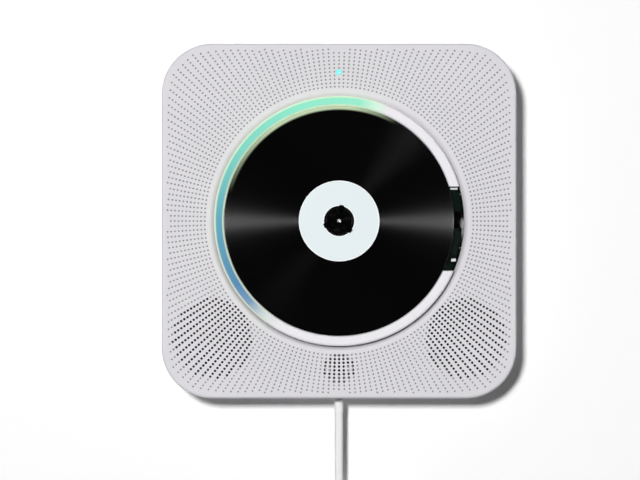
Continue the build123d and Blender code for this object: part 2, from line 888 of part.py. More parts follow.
for name, angle in zip(("claw_top", "claw_left", "claw_right"), claw_angles):
    x, z = polar(claw_inner_radius + claw_length / 2, angle)
    with BuildPart() as claw:
        with BuildSketch(facing(x, z, claw_back)):
            Rectangle(claw_length, claw_width, rotation=angle)
        extrude(amount=claw_height)
        outer_x, outer_z = polar(1.0, angle)
        outer_edges = claw.edges().filter_by(Axis.Y).sort_by(
            lambda edge: edge.center().X * outer_x + edge.center().Z * outer_z
        )[-2:]
        fillet(outer_edges, radius=0.6)
    write(name, claw.part)

motor_back = chassis_back - spindle_motor_height
write(
    "spindle_shaft",
    post(0, 0, (motor_back + 2.0, hub_front + spindle_shaft_tip), spindle_shaft_radius),
)

# ---------------------------------------------------------------- disc mechanism

with BuildPart() as chassis:
    add_piece(
        block(
            (chassis_left, chassis_right),
            (chassis_back, chassis_depth),
            (-chassis_half_height, chassis_half_height),
            chassis_corner,
        )
    )
    opening_left = lens_rest_x - laser_block_half_width - 1.2
    opening_right = lens_rest_x + lens_travel + laser_block_half_width + 1.5
    opening_half = laser_block_half_height + 1.5
    cut_piece(
        block(
            (opening_left, opening_right),
            (chassis_back - 1, chassis_depth + 1),
            (-opening_half, opening_half),
            2.0,
        )
    )
    cut_piece(post(0, 0, (chassis_back - 1, chassis_depth + 1), motor_nose_radius + 0.1))
    for x, z in damper_points:
        cut_piece(post(x, z, (chassis_back - 1, chassis_depth + 1), damper_hole_radius))
    # lugs that hold the two guide rods
    for lug_x in (left_lug_x, right_lug_x):
        for rod_z in (rod_upper_z, rod_lower_z):
            add_piece(
                block(
                    (lug_x, lug_x + lug_width),
                    (chassis_depth - 0.2, rod_depth + rod_radius + 0.7),
                    (rod_z - lug_half_height, rod_z + lug_half_height),
                )
            )
    with BuildSketch(Plane.YZ.offset(left_lug_x + 1.0)):
        with Locations((-rod_depth, rod_upper_z), (-rod_depth, rod_lower_z)):
            Circle(rod_radius + 0.02)
    extrude(amount=right_lug_x + lug_width - 1.0 - left_lug_x - 1.0, mode=Mode.SUBTRACT)
    # pin of the idler gear, and the hole for the sled motor's shaft
    pin_front = idler_wheel_back + idler_wheel_height + 0.4
    add_piece(post(idler_x, idler_z, (chassis_depth - 0.2, pin_front), idler_pin_radius))
    cut_piece(post(pinion_x, pinion_z, (chassis_back - 1, chassis_depth + 1), 2.5))
write("mech_chassis", chassis.part)

with BuildPart() as dampers:
    waist_radius = damper_hole_radius - 0.1
    bore_radius = damper_screw_radius + 0.1
    damper_back = chassis_back - damper_flange
    for x, z in damper_points:
        section = [
            (bore_radius, damper_back),
            (damper_flange_radius, damper_back),
            (damper_flange_radius, chassis_back),
            (waist_radius, chassis_back),
            (waist_radius, chassis_depth),
            (damper_flange_radius, chassis_depth),
            (damper_flange_radius, damper_front),
            (bore_radius, damper_front),
        ]
        add_piece(turned(section, x, z))
write("dampers", dampers.part)

with BuildPart() as spindle_motor:
    add_piece(post(0, 0, (motor_back, chassis_back), spindle_motor_radius))
    fillet(spindle_motor.faces().sort_by(Axis.Y)[-1].edges(), radius=1.5)
    nose_front = chassis_back + motor_nose_height
    add_piece(post(0, 0, (chassis_back - 0.1, nose_front), motor_nose_radius))
    cut_piece(post(0, 0, (motor_back + 1.5, nose_front + 1), spindle_shaft_radius + shaft_clearance))
write("spindle_motor", spindle_motor.part)

with BuildPart() as sled_motor:
    sled_motor_back = chassis_back - sled_motor_height
    add_piece(post(pinion_x, pinion_z, (sled_motor_back, chassis_back), sled_motor_radius))
    fillet(sled_motor.faces().sort_by(Axis.Y)[-1].edges(), radius=1.0)
    add_piece(post(pinion_x, pinion_z, (chassis_back - 0.1, chassis_depth - 0.5), 2.3))
    shaft_hole = (sled_motor_back + 3.0, chassis_depth + 1)
    cut_piece(post(pinion_x, pinion_z, shaft_hole, pinion_shaft_radius + shaft_clearance))
write("sled_motor", sled_motor.part)

# the gap between two pinion teeth faces the idler, and so does the one under the rack's tooth
with BuildPart() as sled_pinion:
    pinion_back = idler_wheel_back - (pinion_height - idler_wheel_height) / 2
    gap_angle = pinion_direction - 180 + 180 / pinion_teeth
    pinion_place = (pinion_x, pinion_z, pinion_back)
    add_piece(gear_wheel(*pinion_place, pinion_height, pinion_teeth, gap_angle))
    shaft_depths = (sled_motor_back + 3.5, pinion_back + 0.1)
    add_piece(post(pinion_x, pinion_z, shaft_depths, pinion_shaft_radius))
write("sled_pinion", sled_pinion.part)

with BuildPart() as idler_gear:
    small_back = rack_back_depth
    small_height = idler_wheel_back - small_back + 0.1
    small_angle = 90 + 180 / idler_small_teeth
    small_place = (idler_x, idler_z, small_back)
    large_place = (idler_x, idler_z, idler_wheel_back)
    add_piece(gear_wheel(*small_place, small_height, idler_small_teeth, small_angle))
    add_piece(gear_wheel(*large_place, idler_wheel_height, idler_large_teeth, pinion_direction))
    idler_bore = idler_pin_radius + shaft_clearance
    idler_depths = (small_back - 1, idler_wheel_back + idler_wheel_height + 1)
    cut_piece(post(idler_x, idler_z, idler_depths, idler_bore))
write("idler_gear", idler_gear.part)

with BuildPart() as guide_rods:
    with BuildSketch(Plane.YZ.offset(left_lug_x + 1.0)):
        with Locations((-rod_depth, rod_upper_z), (-rod_depth, rod_lower_z)):
            Circle(rod_radius)
    extrude(amount=right_lug_x + lug_width - 1.0 - left_lug_x - 1.0)
write("guide_rods", guide_rods.part)

# rack teeth stand at one pitch from a tooth that is centred on the idler
rack_pitch = pi * gear_module
rack_left_teeth = int((lens_travel + 3.0) / rack_pitch)
rack_right_teeth = 1
rack_left = idler_x - (rack_left_teeth + 0.5) * rack_pitch
rack_right = idler_x + (rack_right_teeth + 0.5) * rack_pitch
rack_root_z = rack_pitch_z + 1.05 * gear_module
rack_tip_z = rack_pitch_z - 0.8 * gear_module

with BuildPart() as pickup_sled:
    sled_sides = (lens_rest_x - sled_left_reach, lens_rest_x + sled_right_reach)
    add_piece(block(sled_sides, (sled_back, sled_front), (sled_bottom_z, sled_top_z), 0.8))
    tower_sides = (lens_rest_x - tower_left_reach, lens_rest_x + tower_right_reach)
    tower_heights = (-tower_half_height, tower_half_height)
    add_piece(block(tower_sides, (sled_front - 0.2, tower_front), tower_heights, 0.8))
    laser_sides = (lens_rest_x - laser_block_half_width, lens_rest_x + laser_block_half_width)
    laser_heights = (-laser_block_half_height, laser_block_half_height)
    laser_depths = (sled_back - laser_block_drop, sled_back + 0.2)
    add_piece(block(laser_sides, laser_depths, laser_heights, 1.0))
    rack_depths = (rack_back_depth, rack_back_depth + rack_thickness)
    rack_heights = (rack_root_z, rack_root_z + rack_back)
    add_piece(block((rack_left, rack_right), rack_depths, rack_heights))
    tooth_half_root = (rack_pitch / 2 - backlash) / 2 + 1.05 * gear_module * tan(
        radians(pressure_angle)
    )
    tooth_half_tip = (rack_pitch / 2 - backlash) / 2 - 0.8 * gear_module * tan(
        radians(pressure_angle)
    )
    for tooth in range(-rack_left_teeth, rack_right_teeth + 1):
        tooth_x = idler_x + tooth * rack_pitch
        with BuildSketch(facing(tooth_x, 0, rack_depths[0])):
            with BuildLine():
                Polyline(
                    (-tooth_half_root, rack_root_z + 0.1),
                    (-tooth_half_root, rack_root_z),
                    (-tooth_half_tip, rack_tip_z),
                    (tooth_half_tip, rack_tip_z),
                    (tooth_half_root, rack_root_z),
                    (tooth_half_root, rack_root_z + 0.1),
                    close=True,
                )
            make_face()
        extrude(amount=rack_thickness)
    with BuildSketch(Plane.YZ.offset(sled_sides[0] - 1)):
        with Locations((-rod_depth, rod_upper_z), (-rod_depth, rod_lower_z)):
            Circle(rod_radius + shaft_clearance)
    extrude(amount=sled_left_reach + sled_right_reach + 2, mode=Mode.SUBTRACT)
write("pickup_sled", pickup_sled.part)

with BuildPart() as lens_holder:
    holder_back = tower_front + lens_holder_gap
    holder_front = holder_back + lens_holder_thickness
    holder_sides = (lens_rest_x - lens_holder_width / 2, lens_rest_x + lens_holder_width / 2)
    holder_heights = (-lens_holder_height / 2, lens_holder_height / 2)
    add_piece(block(holder_sides, (holder_back, holder_front), holder_heights, 1.5))
    add_piece(dome(lens_rest_x, 0, holder_front, lens_radius, lens_crown))
write("lens_holder", lens_holder.part)

with BuildPart() as deck_board:
    with BuildSketch(facing(0, 0, deck_board_depth)):
        Circle(deck_board_outer_radius)
        board_top = window_top - window_board_gap
        board_bottom = window_bottom + window_board_gap
        with Locations((deck_board_left + 50, (board_top + board_bottom) / 2)):
            Rectangle(100, board_top - board_bottom, mode=Mode.INTERSECT)
        with Locations((deck_board_left + 4 + 50, (board_slot_top + board_slot_bottom) / 2)):
            Rectangle(100, board_slot_top - board_slot_bottom, mode=Mode.SUBTRACT)
    extrude(amount=deck_board_thickness)
    for x, z in deck_board_screws:
        hole_radius = small_screw_radius + screw_clearance
        cut_piece(post(x, z, (deck_board_depth - 1, deck_board_depth + 3), hole_radius))
    # two small parts near the window's ends
    board_front = deck_board_depth + deck_board_thickness
    add_piece(block((58.4, 62.2), (board_front - 0.1, board_front + 1.2), (16.4, 17.5)))
    add_piece(block((58.9, 61.2), (board_front - 0.1, board_front + 1.2), (-21.2, -19.7)))
write("deck_board", deck_board.part)

# ---------------------------------------------------------------- speakers

for side_name, side in speaker_sides.items():
    x, z = side * speaker_x, speaker_z
    basket_back = speaker_flange_back - basket_height
    basket_outline = [
        (surround_radius - 0.6, speaker_flange_front),
        (speaker_radius, speaker_flange_front),
        (speaker_radius, speaker_flange_back),
        (surround_radius + basket_wall, speaker_flange_back),
        (magnet_radius + 1.0, basket_back + 1.2),
        (magnet_radius + 1.0, basket_back),
        (coil_radius + 2.0, basket_back),
        (coil_radius + 2.0, basket_back + 1.2),
        (magnet_radius - 0.2, basket_back + 1.2),
        (surround_radius - 0.6, speaker_flange_back - 0.4),
    ]
    with BuildPart() as frame:
        add_piece(turned(basket_outline, x, z))
        for angle in speaker_lug_angles:
            lug_x, lug_z = polar(speaker_lug_circle, angle)
            lug = (x + side * lug_x, z + lug_z)
            add_piece(post(*lug, (speaker_flange_back, speaker_flange_front), speaker_lug_radius))
        for angle in speaker_lug_angles:
            lug_x, lug_z = polar(speaker_lug_circle, angle)
            lug = (x + side * lug_x, z + lug_z)
            hole_radius = small_screw_radius + screw_clearance
            hole_depths = (speaker_flange_back - 1, speaker_flange_front + 1)
            cut_piece(post(*lug, hole_depths, hole_radius))
            # window in the basket below each lug
            window_x, window_z = polar(16.2, angle + 60)
            window = (x + side * window_x, z + window_z)
            window_depths = (basket_back + 3.0, speaker_flange_back - 3.0)
            cut_piece(post(*window, window_depths, 5.0))
        # the front edge stays a full ring, and the middle is open for the cone
        cut_piece(post(x, z, (basket_back + 3.0, speaker_flange_front + 1), magnet_radius))
    write(f"speaker_frame_{side_name}", frame.part)

    magnet_front = basket_back
    magnet_outline = [
        (0, magnet_front - magnet_height),
        (magnet_radius, magnet_front - magnet_height),
        (magnet_radius, magnet_front),
        (coil_radius + coil_wall + 0.5, magnet_front),
        (coil_radius + coil_wall + 0.5, magnet_front - magnet_height + 2.0),
        (coil_radius - coil_wall - 0.5, magnet_front - magnet_height + 2.0),
        (coil_radius - coil_wall - 0.5, magnet_front),
        (0, magnet_front),
    ]
    write(f"speaker_magnet_{side_name}", turned(magnet_outline, x, z))

    cone_front = speaker_flange_front - 0.9
    cone_back = cone_front - 7.0
    coil_back = magnet_front - magnet_height + 2.0 + cone_travel + 1.0
    cone_outline = [
        (cone_radius, cone_front),
        (coil_radius + coil_wall, cone_back),
        (coil_radius + coil_wall, coil_back),
        (coil_radius, coil_back),
        (coil_radius, cone_back + 0.6),
        (coil_radius * 0.6, cone_back + 2.4),
        (0, cone_back + 3.0),
        (0, cone_back + 3.6),
        (coil_radius * 0.7, cone_back + 3.0),
        (coil_radius + coil_wall + 0.3, cone_back + 1.2),
        (cone_radius - 0.4, cone_front + 0.5),
        (cone_radius, cone_front + 0.5),
    ]
    write(f"speaker_cone_{side_name}", turned(cone_outline, x, z))

    roll = (surround_radius - 0.7 - cone_radius) / 2
    roll_middle = cone_radius + 0.05 + roll
    with BuildPart() as surround:
        with BuildSketch(half_section(x, z)):
            with BuildLine():
                Line((roll_middle - roll, cone_front), (roll_middle - roll, cone_front + 0.5))
                ThreePointArc(
                    (roll_middle - roll, cone_front + 0.5),
                    (roll_middle, cone_front + 0.5 + roll),
                    (roll_middle + roll, cone_front + 0.5),
                )
                Line((roll_middle + roll, cone_front + 0.5), (roll_middle + roll, cone_front))
                Line((roll_middle + roll, cone_front), (roll_middle + roll - 0.4, cone_front))
                ThreePointArc(
                    (roll_middle + roll - 0.4, cone_front),
                    (roll_middle, cone_front + roll - 0.4),
                    (roll_middle - roll + 0.4, cone_front),
                )
                Line((roll_middle - roll + 0.4, cone_front), (roll_middle - roll, cone_front))
            make_face()
        revolve(axis=turning_axis(x, z))
    write(f"speaker_surround_{side_name}", surround.part)

gasket_radius = speaker_radius - 0.2
with BuildPart() as speaker_gaskets:
    for side in speaker_sides.values():
        with BuildSketch(facing(side * speaker_x, speaker_z, speaker_flange_front)):
            Circle(gasket_radius)
            Circle(surround_radius, mode=Mode.SUBTRACT)
            for angle in speaker_lug_angles:
                lug_x, lug_z = polar(speaker_lug_circle, angle)
                with Locations((side * lug_x, lug_z)):
                    Circle(speaker_lug_radius + 0.1, mode=Mode.SUBTRACT)
        extrude(amount=speaker_boss_height)
write("speaker_gaskets", speaker_gaskets.part)

# ---------------------------------------------------------------- boards

main_board_sides = (-main_board_width / 2, main_board_width / 2)
main_board_heights = (main_board_z - main_board_height / 2, main_board_z + main_board_height / 2)
main_board_front = main_board_depth + board_thickness
with BuildPart() as main_board:
    board_depths = (main_board_depth, main_board_front)
    add_piece(block(main_board_sides, board_depths, main_board_heights, 2.0))
    for x, z in main_board_screws:
        hole_depths = (main_board_depth - 1, main_board_front + 1)
        cut_piece(post(x, z, hole_depths, small_screw_radius + screw_clearance))
write("main_board", main_board.part)

# chips as (middle x, middle z, width, height, thickness), then cans as (x, z, radius, length)
board_chips = [(-12.0, -28.0, 14.0, 14.0, 1.6), (14.0, -30.0, 9.0, 9.0, 1.4)]
board_chips += [(-8.0, -50.0, 10.0, 5.0, 1.6), (28.0, -50.0, 14.0, 10.0, 2.2)]
board_cans = [(-30.0, -54.0, 4.0, 8.0), (-20.0, -56.0, 3.2, 7.0), (34.0, -20.0, 3.2, 6.0)]
with BuildPart() as board_parts:
    for x, z, width, height, thickness in board_chips:
        sides = (x - width / 2, x + width / 2)
        heights = (z - height / 2, z + height / 2)
        add_piece(block(sides, (main_board_front, main_board_front + thickness), heights))
    for x, z, radius, length in board_cans:
        add_piece(post(x, z, (main_board_front, main_board_front + length), radius))
write("board_parts", board_parts.part)

io_board_front = io_board_depth + board_thickness
with BuildPart() as io_board:
    io_heights = (io_board_z - io_board_height / 2, io_board_z + io_board_height / 2)
    add_piece(block((io_board_left, io_board_right), (io_board_depth, io_board_front), io_heights, 1.5))
    for x, z in io_board_screws:
        hole_depths = (io_board_depth - 1, io_board_front + 1)
        cut_piece(post(x, z, hole_depths, small_screw_radius + screw_clearance))
write("io_board", io_board.part)

with BuildPart() as usb_socket:
    usb_sides = (io_board_right - usb_length, io_board_right)
    usb_heights = (usb_z - usb_width / 2, usb_z + usb_width / 2)
    add_piece(block(usb_sides, usb_depth_range, usb_heights))
    cavity_sides = (usb_sides[0] + 2.0, usb_sides[1] + 1)
    cavity_depths = (usb_depth_range[0] + usb_shell, usb_depth_range[1] - usb_shell)
    cavity_heights = (usb_heights[0] + usb_shell, usb_heights[1] - usb_shell)
    cut_piece(block(cavity_sides, cavity_depths, cavity_heights))
    tongue_depths = (cavity_depths[1] - 2.0, cavity_depths[1] - 0.2)
    tongue_heights = (usb_z - 5.5, usb_z + 5.5)
    add_piece(block((usb_sides[0] + 1.5, usb_sides[1] - 1.0), tongue_depths, tongue_heights))
write("usb_socket", usb_socket.part)

with BuildPart() as audio_jack:
    jack_sides = (io_board_right - jack_length, io_board_right)
    jack_heights = (jack_z - jack_width / 2, jack_z + jack_width / 2)
    add_piece(block(jack_sides, jack_depth_range, jack_heights))
    with BuildSketch(Plane.YZ.offset(io_board_right - 0.2)):
        with Locations((-jack_axis_depth, jack_z)):
            Circle(jack_bore_radius + 1.1)
    extrude(amount=side_wall + 0.1)
    with BuildSketch(Plane.YZ.offset(jack_sides[0] + 1.5)):
        with Locations((-jack_axis_depth, jack_z)):
            Circle(jack_bore_radius)
    extrude(amount=jack_length + side_wall, mode=Mode.SUBTRACT)
write("audio_jack", audio_jack.part)

# small screws as (x, z, depth of the seat, 1 with the shank to the front or -1 to the wall)
small_screw_seats = [(x, z, deck_board_depth, 1) for x, z in deck_board_screws]
small_screw_seats += [(x, z, main_board_front, -1) for x, z in main_board_screws]
small_screw_seats += [(x, z, io_board_front, -1) for x, z in io_board_screws]
for side in speaker_sides.values():
    for angle in speaker_lug_angles:
        lug_x, lug_z = polar(speaker_lug_circle, angle)
        seat = (side * (speaker_x + lug_x), speaker_z + lug_z, speaker_flange_back, 1)
        small_screw_seats.append(seat)
with BuildPart() as small_screws:
    for x, z in damper_points:
        screw_front = damper_front + damper_screw_bite - 0.3
        add_piece(post(x, z, (damper_back - 1.6, damper_back), damper_flange_radius - 1.2))
        add_piece(post(x, z, (damper_back - 0.1, screw_front), damper_screw_radius))
    for x, z, seat, way in small_screw_seats:
        head = sorted((seat, seat - way * screw_head_height))
        shank = sorted((seat - way * 0.1, seat + way * (small_screw_length - 0.1)))
        add_piece(post(x, z, head, screw_head_radius))
        add_piece(post(x, z, shank, small_screw_radius))
write("small_screws", small_screws.part)

# ---------------------------------------------------------------- keys

with BuildPart() as key_board:
    with BuildSketch(Plane.XY.offset(key_board_z)):
        with Locations((0, -button_row_depth)):
            Rectangle(key_board_width, key_board_size)
    extrude(amount=board_thickness)
write("key_board", key_board.part)

key_board_top = key_board_z + board_thickness
plunger_top = top_inside - button_flange - moving_clearance - button_travel - 0.1
with BuildPart() as key_switches:
    for x in button_row:
        with BuildSketch(Plane.XY.offset(key_board_top)):
            with Locations((x, -button_row_depth)):
                Rectangle(key_switch_size, key_switch_size)
        extrude(amount=plunger_top - 0.8 - key_board_top)
        with BuildSketch(Plane.XY.offset(plunger_top - 0.9)):
            with Locations((x, -button_row_depth)):
                Circle(key_plunger_radius)
        extrude(amount=0.9)
write("key_switches", key_switches.part)

button_top = housing_height / 2 + button_proud
flange_top = top_inside - moving_clearance
for name, x in zip(button_names, button_row):
    with BuildPart() as button:
        with BuildSketch(Plane.XY.offset(flange_top - button_flange)):
            with Locations((x, -button_row_depth)):
                Rectangle(button_width + 2.4, button_depth_size + 2.4)
        extrude(amount=button_flange)
        with BuildSketch(Plane.XY.offset(flange_top - 0.1)):
            with Locations((x, -button_row_depth)):
                RectangleRounded(button_width, button_depth_size, button_depth_size / 2 - 0.01)
        extrude(amount=button_top - flange_top + 0.1)
        fillet(button.faces().sort_by(Axis.Z)[-1].edges(), radius=0.5)
    write(f"button_{name}", button.part)

# ---------------------------------------------------------------- pull switch

sleeve_bottom = -housing_height / 2 - sleeve_length
sleeve_top = -housing_height / 2 + sleeve_inner_length
switch_bottom = bottom_inside
switch_top = switch_bottom + switch_height
bore_top = switch_top - switch_wall
bore_bottom = switch_bottom + switch_wall
head_top = bore_top - moving_clearance
head_bottom = head_top - slider_head_height
spring_top = head_bottom - spring_wire_radius - 0.1
spring_bottom = bore_bottom + spring_wire_radius + 0.1


def upright(z):
    """Level plane at that height whose origin is on the cord's line."""
    return Plane(origin=(0, -cord_depth, z), x_dir=(1, 0, 0), z_dir=(0, 0, 1))


with BuildPart() as pull_switch:
    with BuildSketch(upright(switch_bottom)):
        RectangleRounded(switch_width, switch_width, 2.0)
    extrude(amount=switch_height)
    with BuildSketch(upright(bore_bottom)):
        Circle(switch_bore_radius)
    extrude(amount=bore_top - bore_bottom, mode=Mode.SUBTRACT)
    with BuildSketch(upright(switch_bottom - 1)):
        Circle(sleeve_diameter / 2 + moving_clearance)
    extrude(amount=switch_wall + 2, mode=Mode.SUBTRACT)
write("pull_switch", pull_switch.part)

with BuildPart() as pull_slider:
    with BuildSketch(upright(head_bottom)):
        Circle(slider_head_radius)
    extrude(amount=slider_head_height)
    with BuildSketch(upright(sleeve_top)):
        Circle(slider_shank_radius)
    extrude(amount=head_bottom - sleeve_top + 0.1)
write("pull_slider", pull_slider.part)

with BuildPart() as return_spring:
    spring_rise = spring_top - spring_bottom
    with BuildLine() as spring_line:
        Helix(spring_rise / spring_turns, spring_rise, spring_radius)
    with BuildSketch(Plane(origin=spring_line.line @ 0, z_dir=spring_line.line % 0)):
        Circle(spring_wire_radius)
    sweep(path=spring_line.line, is_frenet=True)
return_spring_part = return_spring.part.moved(Location((0, -cord_depth, spring_bottom)))
write("return_spring", return_spring_part)

with BuildPart() as cord_sleeve:
    with BuildSketch(upright(sleeve_bottom)):
        Circle(sleeve_diameter / 2)
    extrude(amount=sleeve_top - sleeve_bottom)
    fillet(cord_sleeve.faces().sort_by(Axis.Z)[0].edges(), radius=0.12)
write("cord_sleeve", cord_sleeve.part)

# ---------------------------------------------------------------- cord and its hank

cord_radius = cord_diameter / 2
with BuildPart() as cord:
    with BuildSketch(upright(hank_top_z)):
        Circle(cord_radius)
    extrude(amount=sleeve_bottom - hank_top_z)
write("cord", cord.part)

# The hank's loops lie parallel to the wall in two layers: the first spirals out, the second in.
# The cord comes down in front of them and its end goes away behind them.
hank_stations = 4 * hank_folds
hank_turning = 2 * hank_folds - 1
hank_spread = hank_fold_step * hank_turning / 8
hank_reach = hank_run_half + hank_fold_radius + hank_spread + cord_radius
hank_z = hank_top_z - hank_reach - hank_end_clearance + cord_radius
hank_end_z = 2 * hank_z - hank_top_z
layers = [cord_depth - k * hank_layer_step for k in range(4)]


def hank_layer(station):
    """Depth of the loops at a station: the first layer before the turning one, then the second."""
    if station == hank_turning:
        return (layers[1] + layers[2]) / 2
    return layers[1] if station < hank_turning else layers[2]


def hank_path():
    """Stations of the hank as (point, direction): shoulder, crown, shoulder and waist of each fold."""
    down, up = Vector(0, 0, -1), Vector(0, 0, 1)
    path = [
        (Vector(0, -layers[0], hank_top_z), down),
        (Vector(0, -layers[0], hank_z + hank_run_half), down),
        (Vector(-hank_waist, -(layers[0] + layers[1]) / 2, hank_z), down),
    ]
    for station in range(hank_stations - 1):
        fold, place = divmod(station, 4)
        wound = min(station, 2 * hank_turning - station) / 8
        radius = hank_fold_radius + hank_fold_step * wound
        lower = fold % 2 == 0
        side = -1 if lower else 1
        end_z = hank_z - hank_run_half if lower else hank_z + hank_run_half
        depth = hank_layer(station)
        if place == 0:
            path.append((Vector(side * radius, -depth, end_z), down if lower else up))
        elif place == 1:
            crown_z = end_z - radius if lower else end_z + radius
            path.append((Vector(0, -depth, crown_z), Vector(-side, 0, 0)))
        elif place == 2:
            path.append((Vector(-side * radius, -depth, end_z), up if lower else down))
        else:
            waist = hank_waist + hank_waist_step * wound
            path.append((Vector(-side * waist, -depth, hank_z), up if lower else down))
    path += [
        (Vector(-hank_waist, -(layers[2] + layers[3]) / 2, hank_z), down),
        (Vector(0, -layers[3], hank_z - hank_run_half), down),
        (Vector(0, -layers[3], hank_end_z), down),
    ]
    return path


def arc_middle(start, direction, end):
    """Middle point of the arc from start to end that leaves start in that direction."""
    chord = end - start
    along = chord.normalized()
    across = direction - along * direction.dot(along)
    if across.length < 1e-6:
        return None
    angle = radians(direction.get_angle(chord))
    return (start + end) * 0.5 + across.normalized() * (chord.length / 2 * tan(angle / 2))


def two_arcs(start, start_direction, end, end_direction):
    """Where two tangent arcs between the two ends meet, and the direction there."""
    chord = end - start
    both = start_direction + end_direction
    spread = 2 * (1 - start_direction.dot(end_direction))
    if spread < 1e-9:
        reach = chord.dot(chord) / (4 * chord.dot(start_direction))
    else:
        along = chord.dot(both)
        reach = (sqrt(along * along + spread * chord.dot(chord)) - along) / spread
    corner_a = start + start_direction * reach
    corner_b = end - end_direction * reach
    return (corner_a + corner_b) * 0.5, (corner_b - corner_a).normalized()


def add_run(start, direction, end, points):
    """Add the line or arc from start to end, and a few points along it to the list."""
    middle = arc_middle(start, direction, end)
    if middle is None:
        edge = Line(start, end)
    else:
        edge = ThreePointArc(start, middle, end)
    points += [edge @ (k / 8) for k in range(8)]


hank_points = []
stations = hank_path()
with BuildPart() as cord_hank:
    with BuildLine() as hank_line:
        for (start, start_way), (end, end_way) in zip(stations, stations[1:]):
            if arc_middle(start, start_way, end) is None:
                add_run(start, start_way, end, hank_points)
                continue
            middle, middle_way = two_arcs(start, start_way, end, end_way)
            add_run(start, start_way, middle, hank_points)
            add_run(middle, middle_way, end, hank_points)
    with BuildSketch(upright(hank_top_z)):
        Circle(cord_radius)
    sweep(path=hank_line.line)
write("cord_hank", cord_hank.part)

hank_length = sum(edge.length for edge in hank_line.edges())
least_gap = min(
    (hank_points[a] - hank_points[b]).length
    for a in range(len(hank_points))
    for b in range(a + 1, len(hank_points))
    if abs(a - b) > 24
) - cord_diameter
print(f"hank length {hank_length:.1f}, least gap to itself {least_gap:.2f}")
print(f"whole cord {hank_length + sleeve_bottom - hank_top_z:.1f}")
print(f"hank volume {cord_hank.part.volume:.1f}, section times length "
      f"{pi * cord_radius ** 2 * hank_length:.1f}")

# tie round the hank's waist
right_waist = hank_waist + hank_waist_step * hank_turning / 8
left_waist = hank_waist + hank_waist_step * (hank_turning - 4) / 8
tie_left = -left_waist - cord_radius - tie_clearance
tie_right = right_waist + cord_radius + tie_clearance
tie_front = (layers[0] + layers[1]) / 2 + cord_radius + tie_clearance
tie_back = (layers[2] + layers[3]) / 2 - cord_radius - tie_clearance
tie_middle = Plane(
    origin=((tie_left + tie_right) / 2, -(tie_front + tie_back) / 2, hank_z - tie_height / 2),
    x_dir=(1, 0, 0),
    z_dir=(0, 0, 1),
)
with BuildPart() as cord_tie:
    with BuildSketch(tie_middle):
        tie_size = (tie_right - tie_left, tie_front - tie_back)
        RectangleRounded(tie_size[0] + 2 * tie_wall, tie_size[1] + 2 * tie_wall, 3.0 + tie_wall)
        RectangleRounded(*tie_size, 3.0, mode=Mode.SUBTRACT)
    extrude(amount=tie_height)
write("cord_tie", cord_tie.part)

plug_top = hank_end_z
relief_bottom = plug_top - plug_relief_length
plug_bottom = relief_bottom - plug_length


def plug_plane(z):
    """Level plane at that height whose origin is on the line of the cord's far end."""
    return Plane(origin=(0, -layers[3], z), x_dir=(1, 0, 0), z_dir=(0, 0, 1))


with BuildPart() as cord_plug:
    with BuildSketch(plug_plane(relief_bottom)):
        Circle(plug_relief_radius)
    with BuildSketch(plug_plane(plug_top)):
        Circle(cord_radius + 0.3)
    loft()
    with BuildSketch(plug_plane(plug_bottom)):
        RectangleRounded(plug_width, plug_thickness, plug_corner)
    extrude(amount=plug_length)
    fillet(cord_plug.faces().filter_by(Axis.Z).sort_by(Axis.Z)[0].edges(), radius=0.6)
write("cord_plug", cord_plug.part)

with BuildPart() as plug_shell:
    with BuildSketch(plug_plane(plug_bottom - plug_shell_length)):
        Rectangle(plug_shell_width, plug_shell_height)
    extrude(amount=plug_shell_length)
    shell_inside = (plug_shell_width - 2 * plug_shell_wall, plug_shell_height - 2 * plug_shell_wall)
    with BuildSketch(plug_plane(plug_bottom - plug_shell_length)):
        Rectangle(*shell_inside)
        with Locations((0, -shell_inside[1] / 2 + 0.95)):
            Rectangle(shell_inside[0], 1.9, mode=Mode.SUBTRACT)
    extrude(amount=plug_shell_length - 1.0, mode=Mode.SUBTRACT)
write("plug_shell", plug_shell.part)
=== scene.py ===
"""Wall mounted CD player: the pieces, materials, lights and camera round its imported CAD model."""

import json
from math import asin, cos, degrees, hypot, pi, radians, sin

import bmesh
import bpy
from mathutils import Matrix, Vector
from mathutils.geometry import delaunay_2d_cdt


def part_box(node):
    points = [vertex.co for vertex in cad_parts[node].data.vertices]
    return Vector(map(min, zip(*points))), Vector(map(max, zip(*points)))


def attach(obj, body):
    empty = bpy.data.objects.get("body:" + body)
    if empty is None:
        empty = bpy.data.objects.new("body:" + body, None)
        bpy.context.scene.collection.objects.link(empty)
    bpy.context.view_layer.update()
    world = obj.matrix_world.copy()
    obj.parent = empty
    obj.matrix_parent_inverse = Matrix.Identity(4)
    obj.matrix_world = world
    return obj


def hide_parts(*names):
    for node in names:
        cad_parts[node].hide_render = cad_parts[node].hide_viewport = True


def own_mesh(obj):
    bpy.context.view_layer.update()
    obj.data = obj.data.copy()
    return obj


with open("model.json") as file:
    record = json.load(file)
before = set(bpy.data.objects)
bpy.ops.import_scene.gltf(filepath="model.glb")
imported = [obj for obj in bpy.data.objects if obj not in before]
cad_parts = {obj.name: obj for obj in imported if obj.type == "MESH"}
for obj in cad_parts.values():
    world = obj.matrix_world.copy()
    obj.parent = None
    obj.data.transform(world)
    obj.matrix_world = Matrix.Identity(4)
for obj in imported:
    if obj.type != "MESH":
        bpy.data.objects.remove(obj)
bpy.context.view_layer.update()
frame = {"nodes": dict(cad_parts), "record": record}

bl_info = {
    "name": "Wall Mounted CD Player",
    "version": (1, 0, 0),
    "blender": (4, 5, 0),
    "location": "View3D > Sidebar > CD Player",
    "description": "Builds the visible pieces and materials of a wall mounted CD player",
    "category": "Object",
}

